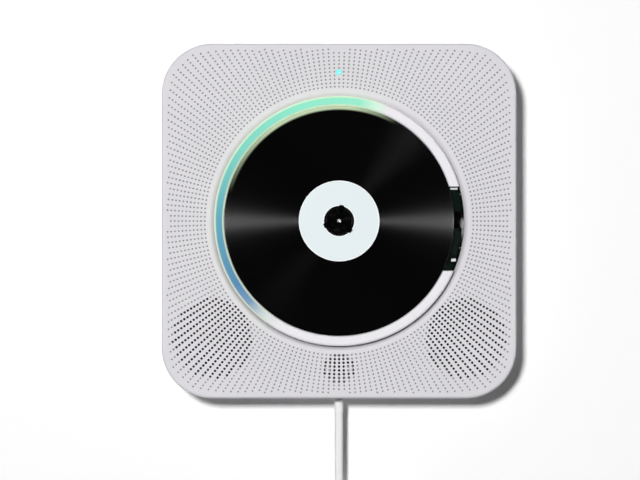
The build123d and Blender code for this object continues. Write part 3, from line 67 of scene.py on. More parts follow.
NODES = frame["nodes"]
BODY_OF = {node: body for body, nodes in frame["record"]["behaviour"]["bodies"].items() for node in nodes}
SLOT_OF = {row["node"]: row["material_slot"] for row in frame["record"]["subparts"]}
MM = 0.001
FACE_Y = -0.044
ON_FACE, MERGED = 2e-6, 1e-6
SPEAKER_X, SPEAKER_Z, SPEAKER_RADIUS = 0.0666, -0.0616, 0.0209
SENSOR_Z, SENSOR_RADIUS = -0.0773, 0.008
INDICATOR_Z, INDICATOR_RADIUS = 0.078, 0.0018
FIELD_HALF, FIELD_CORNER = 0.0900, 0.0235
# The second number is how far behind the face the walls of the grille holes get painted shade.
GRILLE_MARGIN, PAINTED_HOLE_DEPTH = 0.0006, 0.0023
BLACK, WHITE = (0, 0, 0), (1, 1, 1)


def srgb(red, green, blue):
    """Linear colour of a screen colour from 0 to 255."""

    def linear(value):
        value /= 255
        return value / 12.92 if value <= 0.04045 else ((value + 0.055) / 1.055) ** 2.4

    return (linear(red), linear(green), linear(blue))


def grey(level):
    return (level, level, level)


# --- settings


def length(name, description, default):
    """Setting in metres."""
    return bpy.props.FloatProperty(name=name, description=description, default=default, unit="LENGTH")


def lamp_power(name, description, default):
    """Setting in watts."""
    return bpy.props.FloatProperty(name=name, description=description, default=default, unit="POWER")


def colour_setting(name, description, default):
    """Setting that is a linear colour."""
    return bpy.props.FloatVectorProperty(
        name=name, description=description, subtype="COLOR", default=default
    )


class CoverSettings(bpy.types.PropertyGroup):
    """Sizes and colour of the front cover."""

    rays: bpy.props.IntProperty(name="Rays", description="Rays of dimples round the disc", default=200)
    rows: bpy.props.IntProperty(name="Rows", description="Circular rows of dimples", default=25)
    first_row: length("First Row", "Radius of the innermost row", 70.4 * MM)
    row_pitch: length("Row Pitch", "Distance between two rows", 1.97 * MM)
    rim_radius: length("Rim Radius", "Radius of a dimple at the face", 0.49 * MM)
    floor_radius: length("Floor Radius", "Radius of a dimple's floor", 0.41 * MM)
    grille_flare: bpy.props.FloatProperty(
        name="Grille Flare", description="Widening of a grille hole at the face", default=1.28
    )
    depth: length("Depth", "Depth of a dimple", 0.5 * MM)
    colour: colour_setting("Colour", "Colour of the moulding", srgb(219, 217, 221))


class RingSettings(bpy.types.PropertyGroup):
    """Sizes and colours of the light ring."""

    inner_radius: length("Inner Radius", "Inner radius of the ring", 60.15 * MM)
    outer_radius: length("Outer Radius", "Outer radius of the ring", 65.5 * MM)
    edge_round: length("Edge Round", "Radius of the ring's front edges", 1.5 * MM)
    channel_height: length("Channel", "Height of the channel for the lamps", 2.2 * MM)
    channel_wall: length("Channel Wall", "Wall beside the channel", 1.0 * MM)
    colour: colour_setting("Colour", "Colour where the ring isn't lit", srgb(238, 236, 240))


class DiscSettings(bpy.types.PropertyGroup):
    """Sizes and colours of the disc and its label."""

    disc_radius: length("Disc Radius", "Radius of the disc", 60 * MM)
    groove_pitch: length("Groove Pitch", "Width of a band of grooves", 0.4 * MM)
    disc_colour: colour_setting("Disc Colour", "Colour of the disc", srgb(4, 4, 5))
    label_colour: colour_setting("Label Colour", "Colour of the label", srgb(229, 239, 241))


class CordSettings(bpy.types.PropertyGroup):
    """Sizes of the cord and of its put away hank."""

    diameter: length("Diameter", "Diameter of the cord", 4.5 * MM)
    run_half: length("Half Run", "Half the length of the hank's runs", 35 * MM)
    fold_radius: length("Fold Radius", "Radius of the innermost fold", 13.5 * MM)
    fold_step: length("Fold Step", "Growth of the fold for each loop", 5.3 * MM)
    waist: length("Waist", "Half width of the innermost loop at the tie", 5.5 * MM)
    waist_step: length("Waist Step", "Growth at the tie for each loop", 6.3 * MM)
    layer_step: length("Layer Step", "Distance between two layers", 5.1 * MM)
    folds: bpy.props.IntProperty(name="Folds", description="Folds of the hank", default=10)


class StageSettings(bpy.types.PropertyGroup):
    """Camera and lights."""

    view_width: length("View Width", "Width that the camera sees at the front face", 335.4 * MM)
    distance: length("Distance", "From the camera to the front face", 1.7)
    key_power: lamp_power("Key Power", "Power of the key light", 50.0)
    strip_power: lamp_power("Strip Power", "Power of the two strips that the disc reflects", 15.5)
    rear_power: lamp_power("Rear Power", "Power of the light behind the wall", 38.0)
    world_strength: bpy.props.FloatProperty(
        name="World", description="Strength of the light from all round", default=0.06
    )


SETTINGS = {
    "cd_cover": CoverSettings,
    "cd_ring": RingSettings,
    "cd_disc": DiscSettings,
    "cd_cord": CordSettings,
    "cd_stage": StageSettings,
}


# --- node groups and materials


def new_group(name, inputs):
    """Empty shader node group of a surface, as (tree, input node, output node)."""
    tree = bpy.data.node_groups.new(name, "ShaderNodeTree")
    surface = {"Color": "Color", "Roughness": "Float", "Normal": "Vector"}
    for side, sockets in (("INPUT", inputs), ("OUTPUT", surface)):
        for socket, kind in sockets.items():
            tree.interface.new_socket(name=socket, in_out=side, socket_type="NodeSocket" + kind)
    return tree, tree.nodes.new("NodeGroupInput"), tree.nodes.new("NodeGroupOutput")


def feed(tree, socket, value):
    """Join an input to another socket, or set it to a colour, a vector or a number."""
    if isinstance(value, bpy.types.NodeSocket):
        tree.links.new(value, socket)
    elif socket.type == "RGBA":
        socket.default_value = (*value[:3], 1)
    else:
        socket.default_value = value


def feed_all(tree, node, values):
    """Feed a node's inputs by name."""
    for name, value in values.items():
        feed(tree, node.inputs[name], value)


def math_node(tree, operation, a, b=None, clamp=False):
    """Output of a Math node; each operand is a socket or a number."""
    node = tree.nodes.new("ShaderNodeMath")
    node.operation = operation
    node.use_clamp = clamp
    feed(tree, node.inputs[0], a)
    if b is not None:
        feed(tree, node.inputs[1], b)
    return node.outputs[0]


def mix_colour(tree, factor, a, b, blend="MIX"):
    """Output of a colour Mix node; each operand is a socket or a colour."""
    node = tree.nodes.new("ShaderNodeMix")
    node.data_type = "RGBA"
    node.blend_type = blend
    for index, value in ((0, factor), (6, a), (7, b)):
        feed(tree, node.inputs[index], value)
    return node.outputs[2]


def map_range(tree, value, from_low, from_high, to_low=0.0, to_high=1.0, smooth=False):
    """Output of a clamped Map Range node."""
    node = tree.nodes.new("ShaderNodeMapRange")
    node.interpolation_type = "SMOOTHSTEP" if smooth else "LINEAR"
    tree.links.new(value, node.inputs[0])
    for socket, number in zip(node.inputs[1:5], (from_low, from_high, to_low, to_high)):
        socket.default_value = number
    return node.outputs[0]


def noise(tree, vector, scale, detail=3.0):
    """Factor of a noise texture; scale is a socket or a number."""
    node = tree.nodes.new("ShaderNodeTexNoise")
    feed_all(tree, node, {"Vector": vector, "Scale": scale, "Detail": detail})
    return node.outputs[0]


def bump_normal(tree, height, strength, distance):
    """Normal of a Bump node, with its distance in metres."""
    node = tree.nodes.new("ShaderNodeBump")
    feed_all(tree, node, {"Height": height, "Strength": strength, "Distance": distance})
    return node.outputs[0]


def about_zero(tree, value, share):
    """A value round 0.5, moved to lie round 0 and scaled to its share."""
    return math_node(tree, "MULTIPLY", math_node(tree, "SUBTRACT", value, 0.5), share)


def components(tree, vector):
    """The outputs X, Y and Z of a vector."""
    node = tree.nodes.new("ShaderNodeSeparateXYZ")
    tree.links.new(vector, node.inputs[0])
    return node.outputs


def axis_distance(tree, a, b):
    """How far a point is from the axis that its coordinates a and b are counted from."""
    squares = [math_node(tree, "POWER", value, 2.0) for value in (a, b)]
    return math_node(tree, "SQRT", math_node(tree, "ADD", *squares))


def object_point(tree):
    return tree.nodes.new("ShaderNodeTexCoord").outputs["Object"]


def moulded_surface_group():
    """Slow colour drift, uneven gloss and fine grain of a moulded or painted surface."""
    sockets = {"Color": "Color", "Shade": "Color", "Grain Scale": "Float"}
    sockets |= {"Roughness": "Float", "Bump": "Float"}
    tree, given, result = new_group("Moulded Surface", sockets)
    point = object_point(tree)
    drift = map_range(tree, noise(tree, point, 22.0, 4.0), 0.35, 0.7)
    grain = noise(tree, point, given.outputs["Grain Scale"], 2.0)
    colour = mix_colour(tree, drift, given.outputs["Color"], given.outputs["Shade"])
    uneven = math_node(tree, "ADD", about_zero(tree, grain, 0.12), about_zero(tree, drift, 0.05))
    rough = math_node(tree, "ADD", given.outputs["Roughness"], uneven, True)
    normal = bump_normal(tree, grain, given.outputs["Bump"], 0.00005)
    feed_all(tree, result, {"Color": colour, "Roughness": rough, "Normal": normal})
    return tree


def brushed_metal_group():
    """Fine lines along X, as on rolled or turned steel."""
    sockets = {"Color": "Color", "Shade": "Color", "Roughness": "Float", "Bump": "Float"}
    tree, given, result = new_group("Brushed Metal", sockets)
    stretch = tree.nodes.new("ShaderNodeMapping")
    feed_all(tree, stretch, {"Vector": object_point(tree), "Scale": (60, 1400, 1400)})
    lines = noise(tree, stretch.outputs[0], 1.0, 4.0)
    colour = mix_colour(tree, lines, given.outputs["Color"], given.outputs["Shade"])
    rough = math_node(tree, "ADD", given.outputs["Roughness"], about_zero(tree, lines, 0.2), True)
    normal = bump_normal(tree, lines, given.outputs["Bump"], 0.00003)
    feed_all(tree, result, {"Color": colour, "Roughness": rough, "Normal": normal})
    return tree


def circuit_board_group():
    """Copper lines under green lacquer, running along X or Z from patch to patch."""
    tree, given, result = new_group("Circuit Board", {"Lacquer": "Color", "Copper": "Color"})
    line_pitch = 0.0011
    point = object_point(tree)
    parts = components(tree, point)
    cells = tree.nodes.new("ShaderNodeTexVoronoi")
    cells.distance = "CHEBYCHEV"
    feed_all(tree, cells, {"Vector": point, "Scale": 130.0})
    choice = tree.nodes.new("ShaderNodeSeparateColor")
    feed(tree, choice.inputs[0], cells.outputs["Color"])
    across = math_node(tree, "GREATER_THAN", choice.outputs[0], 0.5)
    lines = []
    for axis in (0, 2):
        phase = math_node(tree, "MULTIPLY", parts[axis], 2 * pi / line_pitch)
        lines.append(map_range(tree, math_node(tree, "SINE", phase), 0.35, 0.55))
    pick = tree.nodes.new("ShaderNodeMix")
    for index, value in ((0, across), (2, lines[0]), (3, lines[1])):
        feed(tree, pick.inputs[index], value)
    bare = math_node(tree, "GREATER_THAN", choice.outputs[1], 0.3)
    copper = math_node(tree, "MULTIPLY", pick.outputs[0], bare)
    colour = mix_colour(tree, copper, given.outputs["Lacquer"], given.outputs["Copper"])
    rough = map_range(tree, copper, 0.0, 1.0, 0.42, 0.3)
    normal = bump_normal(tree, copper, 0.6, 0.00004)
    feed_all(tree, result, {"Color": colour, "Roughness": rough, "Normal": normal})
    return tree


GROUPS = {}


def group(name):
    """The shader node group of that name, built once."""
    makers = {
        "moulded": moulded_surface_group,
        "brushed": brushed_metal_group,
        "board": circuit_board_group,
    }
    if name not in GROUPS:
        GROUPS[name] = makers[name]()
    return GROUPS[name]


def new_material(name):
    """Empty material as (material, tree, Principled node)."""
    material = bpy.data.materials.new(name)
    material.use_nodes = True
    tree = material.node_tree
    tree.nodes.clear()
    shader = tree.nodes.new("ShaderNodeBsdfPrincipled")
    output = tree.nodes.new("ShaderNodeOutputMaterial")
    tree.links.new(shader.outputs[0], output.inputs["Surface"])
    return material, tree, shader


def place_group(tree, shader, name, values):
    """Put a group into a material, set its inputs and join it to the shader."""
    node = tree.nodes.new("ShaderNodeGroup")
    node.node_tree = group(name)
    feed_all(tree, node, values)
    joins = {"Base Color": "Color", "Roughness": "Roughness", "Normal": "Normal"}
    feed_all(tree, shader, {socket: node.outputs[output] for socket, output in joins.items()})
    return node


def darker(colour, factor):
    return tuple(channel * factor for channel in colour[:3])


def moulded(name, colour, roughness=0.4, grain=1500.0, bump=0.15, shade=0.94, coat=0.0, specular=0.5):
    """Moulded plastic, rubber or paint."""
    material, tree, shader = new_material(name)
    values = {"Color": colour, "Shade": darker(colour, shade), "Grain Scale": grain}
    place_group(tree, shader, "moulded", values | {"Roughness": roughness, "Bump": bump})
    feed_all(tree, shader, {"Coat Weight": coat, "Coat Roughness": 0.12, "Specular IOR Level": specular})
    return material


def metal(name, colour, roughness=0.3, bump=0.2, shade=0.8, metallic=1.0):
    """Rolled, turned or plated metal."""
    material, tree, shader = new_material(name)
    values = {"Color": colour, "Shade": darker(colour, shade), "Roughness": roughness, "Bump": bump}
    place_group(tree, shader, "brushed", values)
    feed_all(tree, shader, {"Metallic": metallic})
    return material


def circuit_board(name, lacquer, copper, coat=0.4, specular=0.5):
    material, tree, shader = new_material(name)
    place_group(tree, shader, "board", {"Lacquer": lacquer, "Copper": copper})
    feed_all(tree, shader, {"Coat Weight": coat, "Specular IOR Level": specular})
    return material


def polar_coordinates(tree, carrier=None):
    """(angle from 0 to 1 counted from +X towards +Z, radius in metres) of a point round the disc's axis.

    The angle turns with the carrier, or else with the piece itself."""
    place = tree.nodes.new("ShaderNodeTexCoord")
    place.object = carrier
    across, _, up = components(tree, place.outputs["Object"])
    share = math_node(tree, "DIVIDE", math_node(tree, "ARCTAN2", up, across), 2 * pi)
    angle = math_node(tree, "FRACT", math_node(tree, "ADD", share, 1.0))
    return angle, axis_distance(tree, across, up)


def colour_ramp(tree, angle, stops):
    """Output of a colour ramp over the angle, with (degrees, colour) stops."""
    node = tree.nodes.new("ShaderNodeValToRGB")
    ramp = node.color_ramp
    while len(ramp.elements) > 1:
        ramp.elements.remove(ramp.elements[-1])
    ramp.elements[0].position = stops[0][0] / 360
    ramp.elements[0].color = (*stops[0][1][:3], 1)
    for place, colour in stops[1:]:
        ramp.elements.new(place / 360).color = (*colour[:3], 1)
    tree.links.new(angle, node.inputs[0])
    return node.outputs[0]


LIT_STOPS = [
    (66, None),
    (72, srgb(214, 245, 224)),
    (80, srgb(154, 237, 206)),
    (110, srgb(145, 234, 204)),
    (145, srgb(129, 212, 197)),
    (180, srgb(101, 169, 187)),
    (212, srgb(90, 139, 180)),
    (222, srgb(120, 156, 187)),
    (232, srgb(213, 222, 219)),
    (240, None),
]


def light_ring_material(settings):
    """Milky plastic, lit from inside at the left, with a warm glow along both edges of that arc; the lit
    arc's colours are painted into the base colour as well as given off as light.
    """
    material, tree, shader = new_material("milky_light_ring")
    unlit, cream = tuple(settings.colour), srgb(238, 244, 208)
    angle, radius = polar_coordinates(tree)
    # Painted light: the lit arc's colours, and the cream along its edges, are painted into the base colour as
    # well as given off as light.
    tints = [(degree, darker(colour, 0.8) if colour else unlit) for degree, colour in LIT_STOPS]
    tint = colour_ramp(tree, angle, tints)
    glow = colour_ramp(tree, angle, [(degree, colour or BLACK) for degree, colour in LIT_STOPS])
    lit_arc = colour_ramp(tree, angle, [(62, BLACK), (84, WHITE), (222, WHITE), (242, BLACK)])
    middle = (settings.inner_radius + settings.outer_radius) / 2
    away = math_node(tree, "ABSOLUTE", math_node(tree, "SUBTRACT", radius, middle))
    edge = map_range(tree, away, 0.0014, 0.0023, smooth=True)
    edge_lit = math_node(tree, "MULTIPLY", math_node(tree, "MULTIPLY", edge, lit_arc), 0.75)
    base = mix_colour(tree, edge_lit, tint, cream)
    grain = map_range(tree, noise(tree, object_point(tree), 900.0), 0.3, 0.7, 0.0, 0.04)
    values = {
        "Base Color": mix_colour(tree, grain, base, BLACK),
        "Roughness": 0.35,
        "Specular IOR Level": 0.3,
        "Emission Color": mix_colour(tree, edge_lit, glow, cream),
        "Emission Strength": 0.22,
    }
    feed_all(tree, shader, values)
    return material


def disc_material(settings):
    """Black disc whose fine grooves streak the light along its radius, with the ring's light on its rim
    painted as a glow that the disc gives off.
    """
    material, tree, shader = new_material("grooved_black_disc")
    angle, radius = polar_coordinates(tree, NODES["light_ring"])
    # Painted light: a glow is given off on the rim beside the ring's lit arc, standing in for the ring's
    # light falling on the disc's rim.
    lit_arc = colour_ramp(tree, angle, [(60, BLACK), (84, WHITE), (125, WHITE), (165, BLACK)])
    rim_start, rim_end = settings.disc_radius - 0.0022, settings.disc_radius - 0.0009
    rim = map_range(tree, radius, rim_start, rim_end, smooth=True)
    glow = mix_colour(tree, rim, BLACK, srgb(214, 236, 196))
    rings = tree.nodes.new("ShaderNodeTexNoise")
    rings.noise_dimensions = "1D"
    place = math_node(tree, "DIVIDE", radius, settings.groove_pitch)
    feed_all(tree, rings, {"W": place, "Scale": 1.0, "Detail": 4.0})
    bands = map_range(tree, rings.outputs[0], 0.3, 0.7)
    base = tuple(settings.disc_colour)
    tangent = tree.nodes.new("ShaderNodeTangent")
    tangent.direction_type = "RADIAL"
    tangent.axis = "Y"
    values = {
        "Base Color": mix_colour(tree, bands, darker(base, 0.5), darker(base, 1.3)),
        "Roughness": map_range(tree, bands, 0.0, 1.0, 0.19, 0.27),
        "Specular IOR Level": 0.3,
        "Anisotropic": 1.0,
        "Anisotropic Rotation": 0.25,
        "Tangent": tangent.outputs[0],
        "Emission Color": mix_colour(tree, 1.0, glow, lit_arc, "MULTIPLY"),
        "Emission Strength": 0.8,
    }
    feed_all(tree, shader, values)
    return material


def indicator_material():
    """Clear cyan lens, brightest in its middle."""
    material, tree, shader = new_material("cyan_indicator")
    across, _, up = components(tree, object_point(tree))
    radius = axis_distance(tree, across, math_node(tree, "SUBTRACT", up, INDICATOR_Z))
    core = map_range(tree, radius, 0.0004, 0.0014, 1.0, 0.0, smooth=True)
    colour = mix_colour(tree, core, srgb(90, 226, 214), srgb(120, 255, 242))
    values = {"Base Color": colour, "Emission Color": colour, "Emission Strength": 0.45, "Roughness": 0.15}
    feed_all(tree, shader, values)
    return material


def cover_material(colour):
    """Satin white moulding, with painted shade in the moat round the ring, darkest at its bottom."""
    material, tree, shader = new_material("white_case")
    values = {"Color": colour, "Shade": darker(colour, 0.975), "Grain Scale": 2200.0}
    surface = place_group(tree, shader, "moulded", values | {"Roughness": 0.38, "Bump": 0.08})
    # Painted shade: the colour is darkened over the moat round the ring, most at its bottom, standing in for
    # the ring's shadow and the shade in the moat.
    opening, moat_start, moat_end = 0.0653, 0.0655, 0.0684
    angle, radius = polar_coordinates(tree)
    height = math_node(tree, "SINE", math_node(tree, "MULTIPLY", angle, 2 * pi))
    painted_shade_strength = map_range(tree, height, -1.0, 1.0, 0.66, 0.26)
    slope = map_range(tree, radius, moat_start, moat_end, 1.0, 0.0, smooth=True)
    outside = math_node(tree, "GREATER_THAN", radius, opening)
    depth = math_node(tree, "MULTIPLY", math_node(tree, "MULTIPLY", slope, outside), painted_shade_strength)
    painted_shade_colour = mix_colour(tree, depth, surface.outputs["Color"], BLACK)
    feed_all(tree, shader, {"Base Color": painted_shade_colour, "Specular IOR Level": 0.2})
    return material


# slot: (maker, name, colour and then what else the maker is given)
PLAIN_MATERIALS = {
    "steel": (metal, "zinc_plated_bracket", (0.56, 0.56, 0.57), 0.34),
    "screw_steel": (metal, "screw_steel", (0.42, 0.42, 0.43), 0.3),
    "pad_rubber": (moulded, "black_rubber", (0.02, 0.02, 0.021), 0.7, 900.0, 0.4, 0.7),
    "board_green": (circuit_board, "green_board", (0.01, 0.075, 0.03), (0.03, 0.16, 0.06)),
    "board_dark": (
        circuit_board, "dark_green_board", (0.0012, 0.0045, 0.0034), (0.004, 0.013, 0.01), 0.0, 0.15
    ),
    "chip_black": (moulded, "black_chips", (0.014, 0.014, 0.015), 0.45, 3000.0, 0.2, 0.8),
    "lamp": (moulded, "lamp_phosphor", (0.78, 0.74, 0.36), 0.4, 3000.0, 0.1, 0.85),
    "socket_metal": (metal, "nickel_socket", (0.6, 0.59, 0.56), 0.25),
    "black_plastic": (
        moulded, "black_hub_plastic", (0.0012, 0.0012, 0.0014), 0.3, 2500.0, 0.1, 0.75, 0.0, 0.05
    ),
    "shaft_steel": (metal, "polished_steel", grey(0.72), 0.16, 0.08, 0.9),
    "chassis_grey": (moulded, "painted_chassis", (0.05, 0.05, 0.052), 0.5, 1600.0, 0.3, 0.85),
    "motor_can": (metal, "motor_can", grey(0.5), 0.32),
    "gear_white": (moulded, "gear_plastic", (0.6, 0.59, 0.53), 0.45, 1800.0, 0.15, 0.92),
    "sled_black": (moulded, "sled_plastic", grey(0.012), 0.5, 1800.0, 0.3, 0.8),
    "lens_black": (moulded, "lens_holder_plastic", (0.012, 0.012, 0.016), 0.3, 2400.0, 0.1, 0.8, 0.6),
    "speaker_frame": (moulded, "speaker_frame_paint", grey(0.012), 0.45, 1500.0, 0.3, 0.8),
    "magnet": (moulded, "ferrite_magnet", (0.04, 0.04, 0.042), 0.6, 1100.0, 0.5, 0.75),
    "cone_black": (moulded, "paper_cone", grey(0.012), 0.8, 1200.0, 0.8, 0.7),
    "surround_rubber": (moulded, "rubber_surround", grey(0.01), 0.6, 2000.0, 0.2, 0.8),
    "switch_body": (moulded, "switch_plastic", (0.55, 0.55, 0.52), 0.45, 1600.0, 0.2, 0.9),
    "spring_steel": (metal, "spring_steel", grey(0.5), 0.25),
    "cord_white": (moulded, "white_cord", srgb(236, 236, 236), 0.5, 1300.0, 0.25, 0.96),
    "plug_white": (moulded, "white_plug", srgb(230, 230, 231), 0.36, 2000.0, 0.15, 0.96, 0.1),
    "plug_metal": (metal, "plug_plating", (0.62, 0.61, 0.6), 0.3, 0.1, 0.9, 0.5),
}
MATERIALS = {}


def material_for(slot):
    """The material of a slot of the record, built once."""
    if slot in MATERIALS:
        return MATERIALS[slot]
    scene = bpy.context.scene
    white = tuple(scene.cd_cover.colour)
    rows = PLAIN_MATERIALS | {
        "case_white": (cover_material, white),
        "cover_back": (moulded, "white_back_cover", darker(white, 0.98), 0.42, 2200.0, 0.12, 0.97, 0.05),
        "light_guide": (light_ring_material, scene.cd_ring),
        "indicator": (indicator_material,),
        "disc_black": (disc_material, scene.cd_disc),
        "label_white": (moulded, "label_print", tuple(scene.cd_disc.label_colour), 0.45, 2600.0, 0.05, 0.975),
        "button_white": (moulded, "white_buttons", darker(white, 0.97), 0.3, 2400.0, 0.06, 0.97, 0.2),
    }
    maker, *values = rows[slot]
    MATERIALS[slot] = maker(*values)
    return MATERIALS[slot]


# --- meshes


def new_object(name, mesh, node):
    """Object of a finished mesh that rides on the body of its CAD node and stands for that node."""
    piece = bpy.data.objects.new(name, mesh)
    bpy.context.scene.collection.objects.link(piece)
    if not mesh.materials:
        mesh.materials.append(material_for(SLOT_OF[node]))
    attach(piece, BODY_OF[node])
    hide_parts(node)
    return piece


def soften(mesh, angle):
    """Shade a mesh smooth, apart from edges sharper than the angle."""
    mesh.polygons.foreach_set("use_smooth", [True] * len(mesh.polygons))
    mesh.set_sharp_from_angle(angle=radians(angle))


def weigh_normals(piece):
    """Let the large faces beside a fillet keep their own flat shading."""
    modifier = piece.modifiers.new("Flat Faces", "WEIGHTED_NORMAL")
    modifier.keep_sharp = True
    modifier.weight = 80


def merged_mesh(node):
    """bmesh copy of a CAD node with its doubled points merged."""
    work = bmesh.new()
    work.from_mesh(NODES[node].data)
    bmesh.ops.remove_doubles(work, verts=work.verts, dist=MERGED)
    return work


def finished_mesh(work, name):
    """Mesh of a bmesh, which is freed."""
    mesh = bpy.data.meshes.new(name)
    work.to_mesh(mesh)
    work.free()
    return mesh


def smooth_copy(node, name, angle=28.0):
    """Piece with a CAD node's own shape and smooth fillets."""
    mesh = finished_mesh(merged_mesh(node), name)
    soften(mesh, angle)
    piece = new_object(name, mesh, node)
    weigh_normals(piece)
    return piece


def turned_mesh(name, outline, steps=180, start=None, end=None, angle=35.0):
    """Mesh of a closed (radius, depth) outline turned about the disc's axis.

    start and end give the angle, in degrees, of each point of an open ring's two ends."""
    work = bmesh.new()
    open_ring = start is not None
    sections = []
    for step in range(steps + 1 if open_ring else steps):
        section = []
        for index, (radius, depth) in enumerate(outline):
            first = start[index] if open_ring else 0.0
            last = end[index] if open_ring else 360.0
            turn = radians(first + (last - first) * step / steps)
            section.append(work.verts.new((radius * cos(turn), -depth, radius * sin(turn))))
        sections.append(section)
    pairs = list(zip(sections, sections[1:]))
    if not open_ring:
        pairs.append((sections[-1], sections[0]))
    count = len(outline)
    for one, two in pairs:
        for index in range(count):
            after = (index + 1) % count
            work.faces.new((one[index], one[after], two[after], two[index]))
    if open_ring:
        work.faces.new(sections[0])
        work.faces.new(list(reversed(sections[-1])))
    bmesh.ops.recalc_face_normals(work, faces=work.faces)
    mesh = finished_mesh(work, name)
    soften(mesh, angle)
    return mesh


def rounded_corner(centre, radius, first, last, steps=6):
    """Points of an arc from one angle to another, in degrees, as (radius, depth)."""
    turns = [radians(first + (last - first) * k / steps) for k in range(steps + 1)]
    return [(centre[0] + radius * cos(turn), centre[1] + radius * sin(turn)) for turn in turns]


# --- front cover


def dimple_tree():
    """Geometry nodes that set an open bowl at each point, with its rim in the front face."""
    tree = bpy.data.node_groups.new("Dimple Pattern", "GeometryNodeTree")
    tree.interface.new_socket(name="Points", in_out="INPUT", socket_type="NodeSocketGeometry")
    for socket in ("Rim Radius", "Floor Radius", "Depth"):
        tree.interface.new_socket(name=socket, in_out="INPUT", socket_type="NodeSocketFloat")
    tree.interface.new_socket(name="Material", in_out="INPUT", socket_type="NodeSocketMaterial")
    tree.interface.new_socket(name="Mesh", in_out="OUTPUT", socket_type="NodeSocketGeometry")
    new, link = tree.nodes.new, tree.links.new
    given, result = new("NodeGroupInput"), new("NodeGroupOutput")
    bowl = new("GeometryNodeMeshCone")
    bowl.fill_type = "NGON"
    sizes = {"Radius Bottom": given.outputs["Rim Radius"], "Radius Top": given.outputs["Floor Radius"]}
    feed_all(tree, bowl, sizes | {"Vertices": 8, "Depth": given.outputs["Depth"]})
    opened = new("GeometryNodeDeleteGeometry")
    opened.domain = "FACE"
    link(bowl.outputs["Mesh"], opened.inputs[0])
    link(bowl.outputs["Bottom"], opened.inputs[1])
    flipped = new("GeometryNodeFlipFaces")
    link(opened.outputs[0], flipped.inputs[0])
    turned = new("GeometryNodeTransform")
    turned.inputs["Rotation"].default_value = (radians(-90), 0, 0)
    link(flipped.outputs[0], turned.inputs[0])
    spread = new("GeometryNodeInstanceOnPoints")
    link(given.outputs["Points"], spread.inputs["Points"])
    link(turned.outputs[0], spread.inputs["Instance"])
    real = new("GeometryNodeRealizeInstances")
    link(spread.outputs[0], real.inputs[0])
    painted = new("GeometryNodeSetMaterial")
    link(real.outputs[0], painted.inputs[0])
    link(given.outputs["Material"], painted.inputs["Material"])
    link(painted.outputs[0], result.inputs[0])
    return tree


def run_nodes(tree, points, values):
    """Mesh that a geometry node tree makes of some points, with its inputs set by name."""
    mesh = bpy.data.meshes.new("points")
    mesh.from_pydata(points, [], [])
    carrier = bpy.data.objects.new("points", mesh)
    bpy.context.scene.collection.objects.link(carrier)
    modifier = carrier.modifiers.new("Nodes", "NODES")
    modifier.node_group = tree
    for item in tree.interface.items_tree:
        if item.item_type == "SOCKET" and item.in_out == "INPUT" and item.name in values:
            modifier[item.identifier] = values[item.name]
    bpy.context.view_layer.update()
    made = bpy.data.meshes.new_from_object(carrier.evaluated_get(bpy.context.evaluated_depsgraph_get()))
    bpy.data.objects.remove(carrier)
    return made


def in_rounded_square(x, z, half, corner):
    """True if the point is inside a square of that half width with rounded corners."""
    along, up = abs(x) - (half - corner), abs(z) - (half - corner)
    if along > 0 and up > 0:
        return hypot(along, up) < corner
    return along < corner and up < corner


def in_grille(x, z, margin=0.0):
    """True if the point is in one of the two speaker grilles or in the sensor's."""
    at_speaker = hypot(abs(x) - SPEAKER_X, z - SPEAKER_Z) < SPEAKER_RADIUS + margin
    return at_speaker or hypot(x, z - SENSOR_Z) < SENSOR_RADIUS + margin


def dimple_points(settings):
    """Places of the dimples: the polar pattern, apart from the two grilles, the sensor and the lamp."""
    points = []
    for row in range(settings.rows):
        radius = settings.first_row + row * settings.row_pitch
        for ray in range(settings.rays):
            turn = 2 * pi * ray / settings.rays
            x, z = radius * cos(turn), radius * sin(turn)
            lamp = hypot(x, z - INDICATOR_Z) < INDICATOR_RADIUS
            if in_rounded_square(x, z, FIELD_HALF, FIELD_CORNER) and not (in_grille(x, z) or lamp):
                points.append((x, FACE_Y, z))
    return points


def on_face(vert):
    """True if the vertex is in the plane of the front face."""
    return abs(vert.co.y - FACE_Y) < ON_FACE


def face_loops(work):
    """Open edges in the plane of the front face, and the number of the closed loop that each point is on."""
    edges = [e for e in work.edges if e.is_boundary and all(on_face(v) for v in e.verts)]
    neighbours = {}
    for edge in edges:
        a, b = edge.verts
        neighbours.setdefault(a, []).append(b)
        neighbours.setdefault(b, []).append(a)
    loop_of, number = {}, 0
    for vert in neighbours:
        if vert in loop_of:
            continue
        stack = [vert]
        while stack:
            here = stack.pop()
            if here in loop_of:
                continue
            loop_of[here] = number
            stack += neighbours[here]
        number += 1
    return edges, loop_of


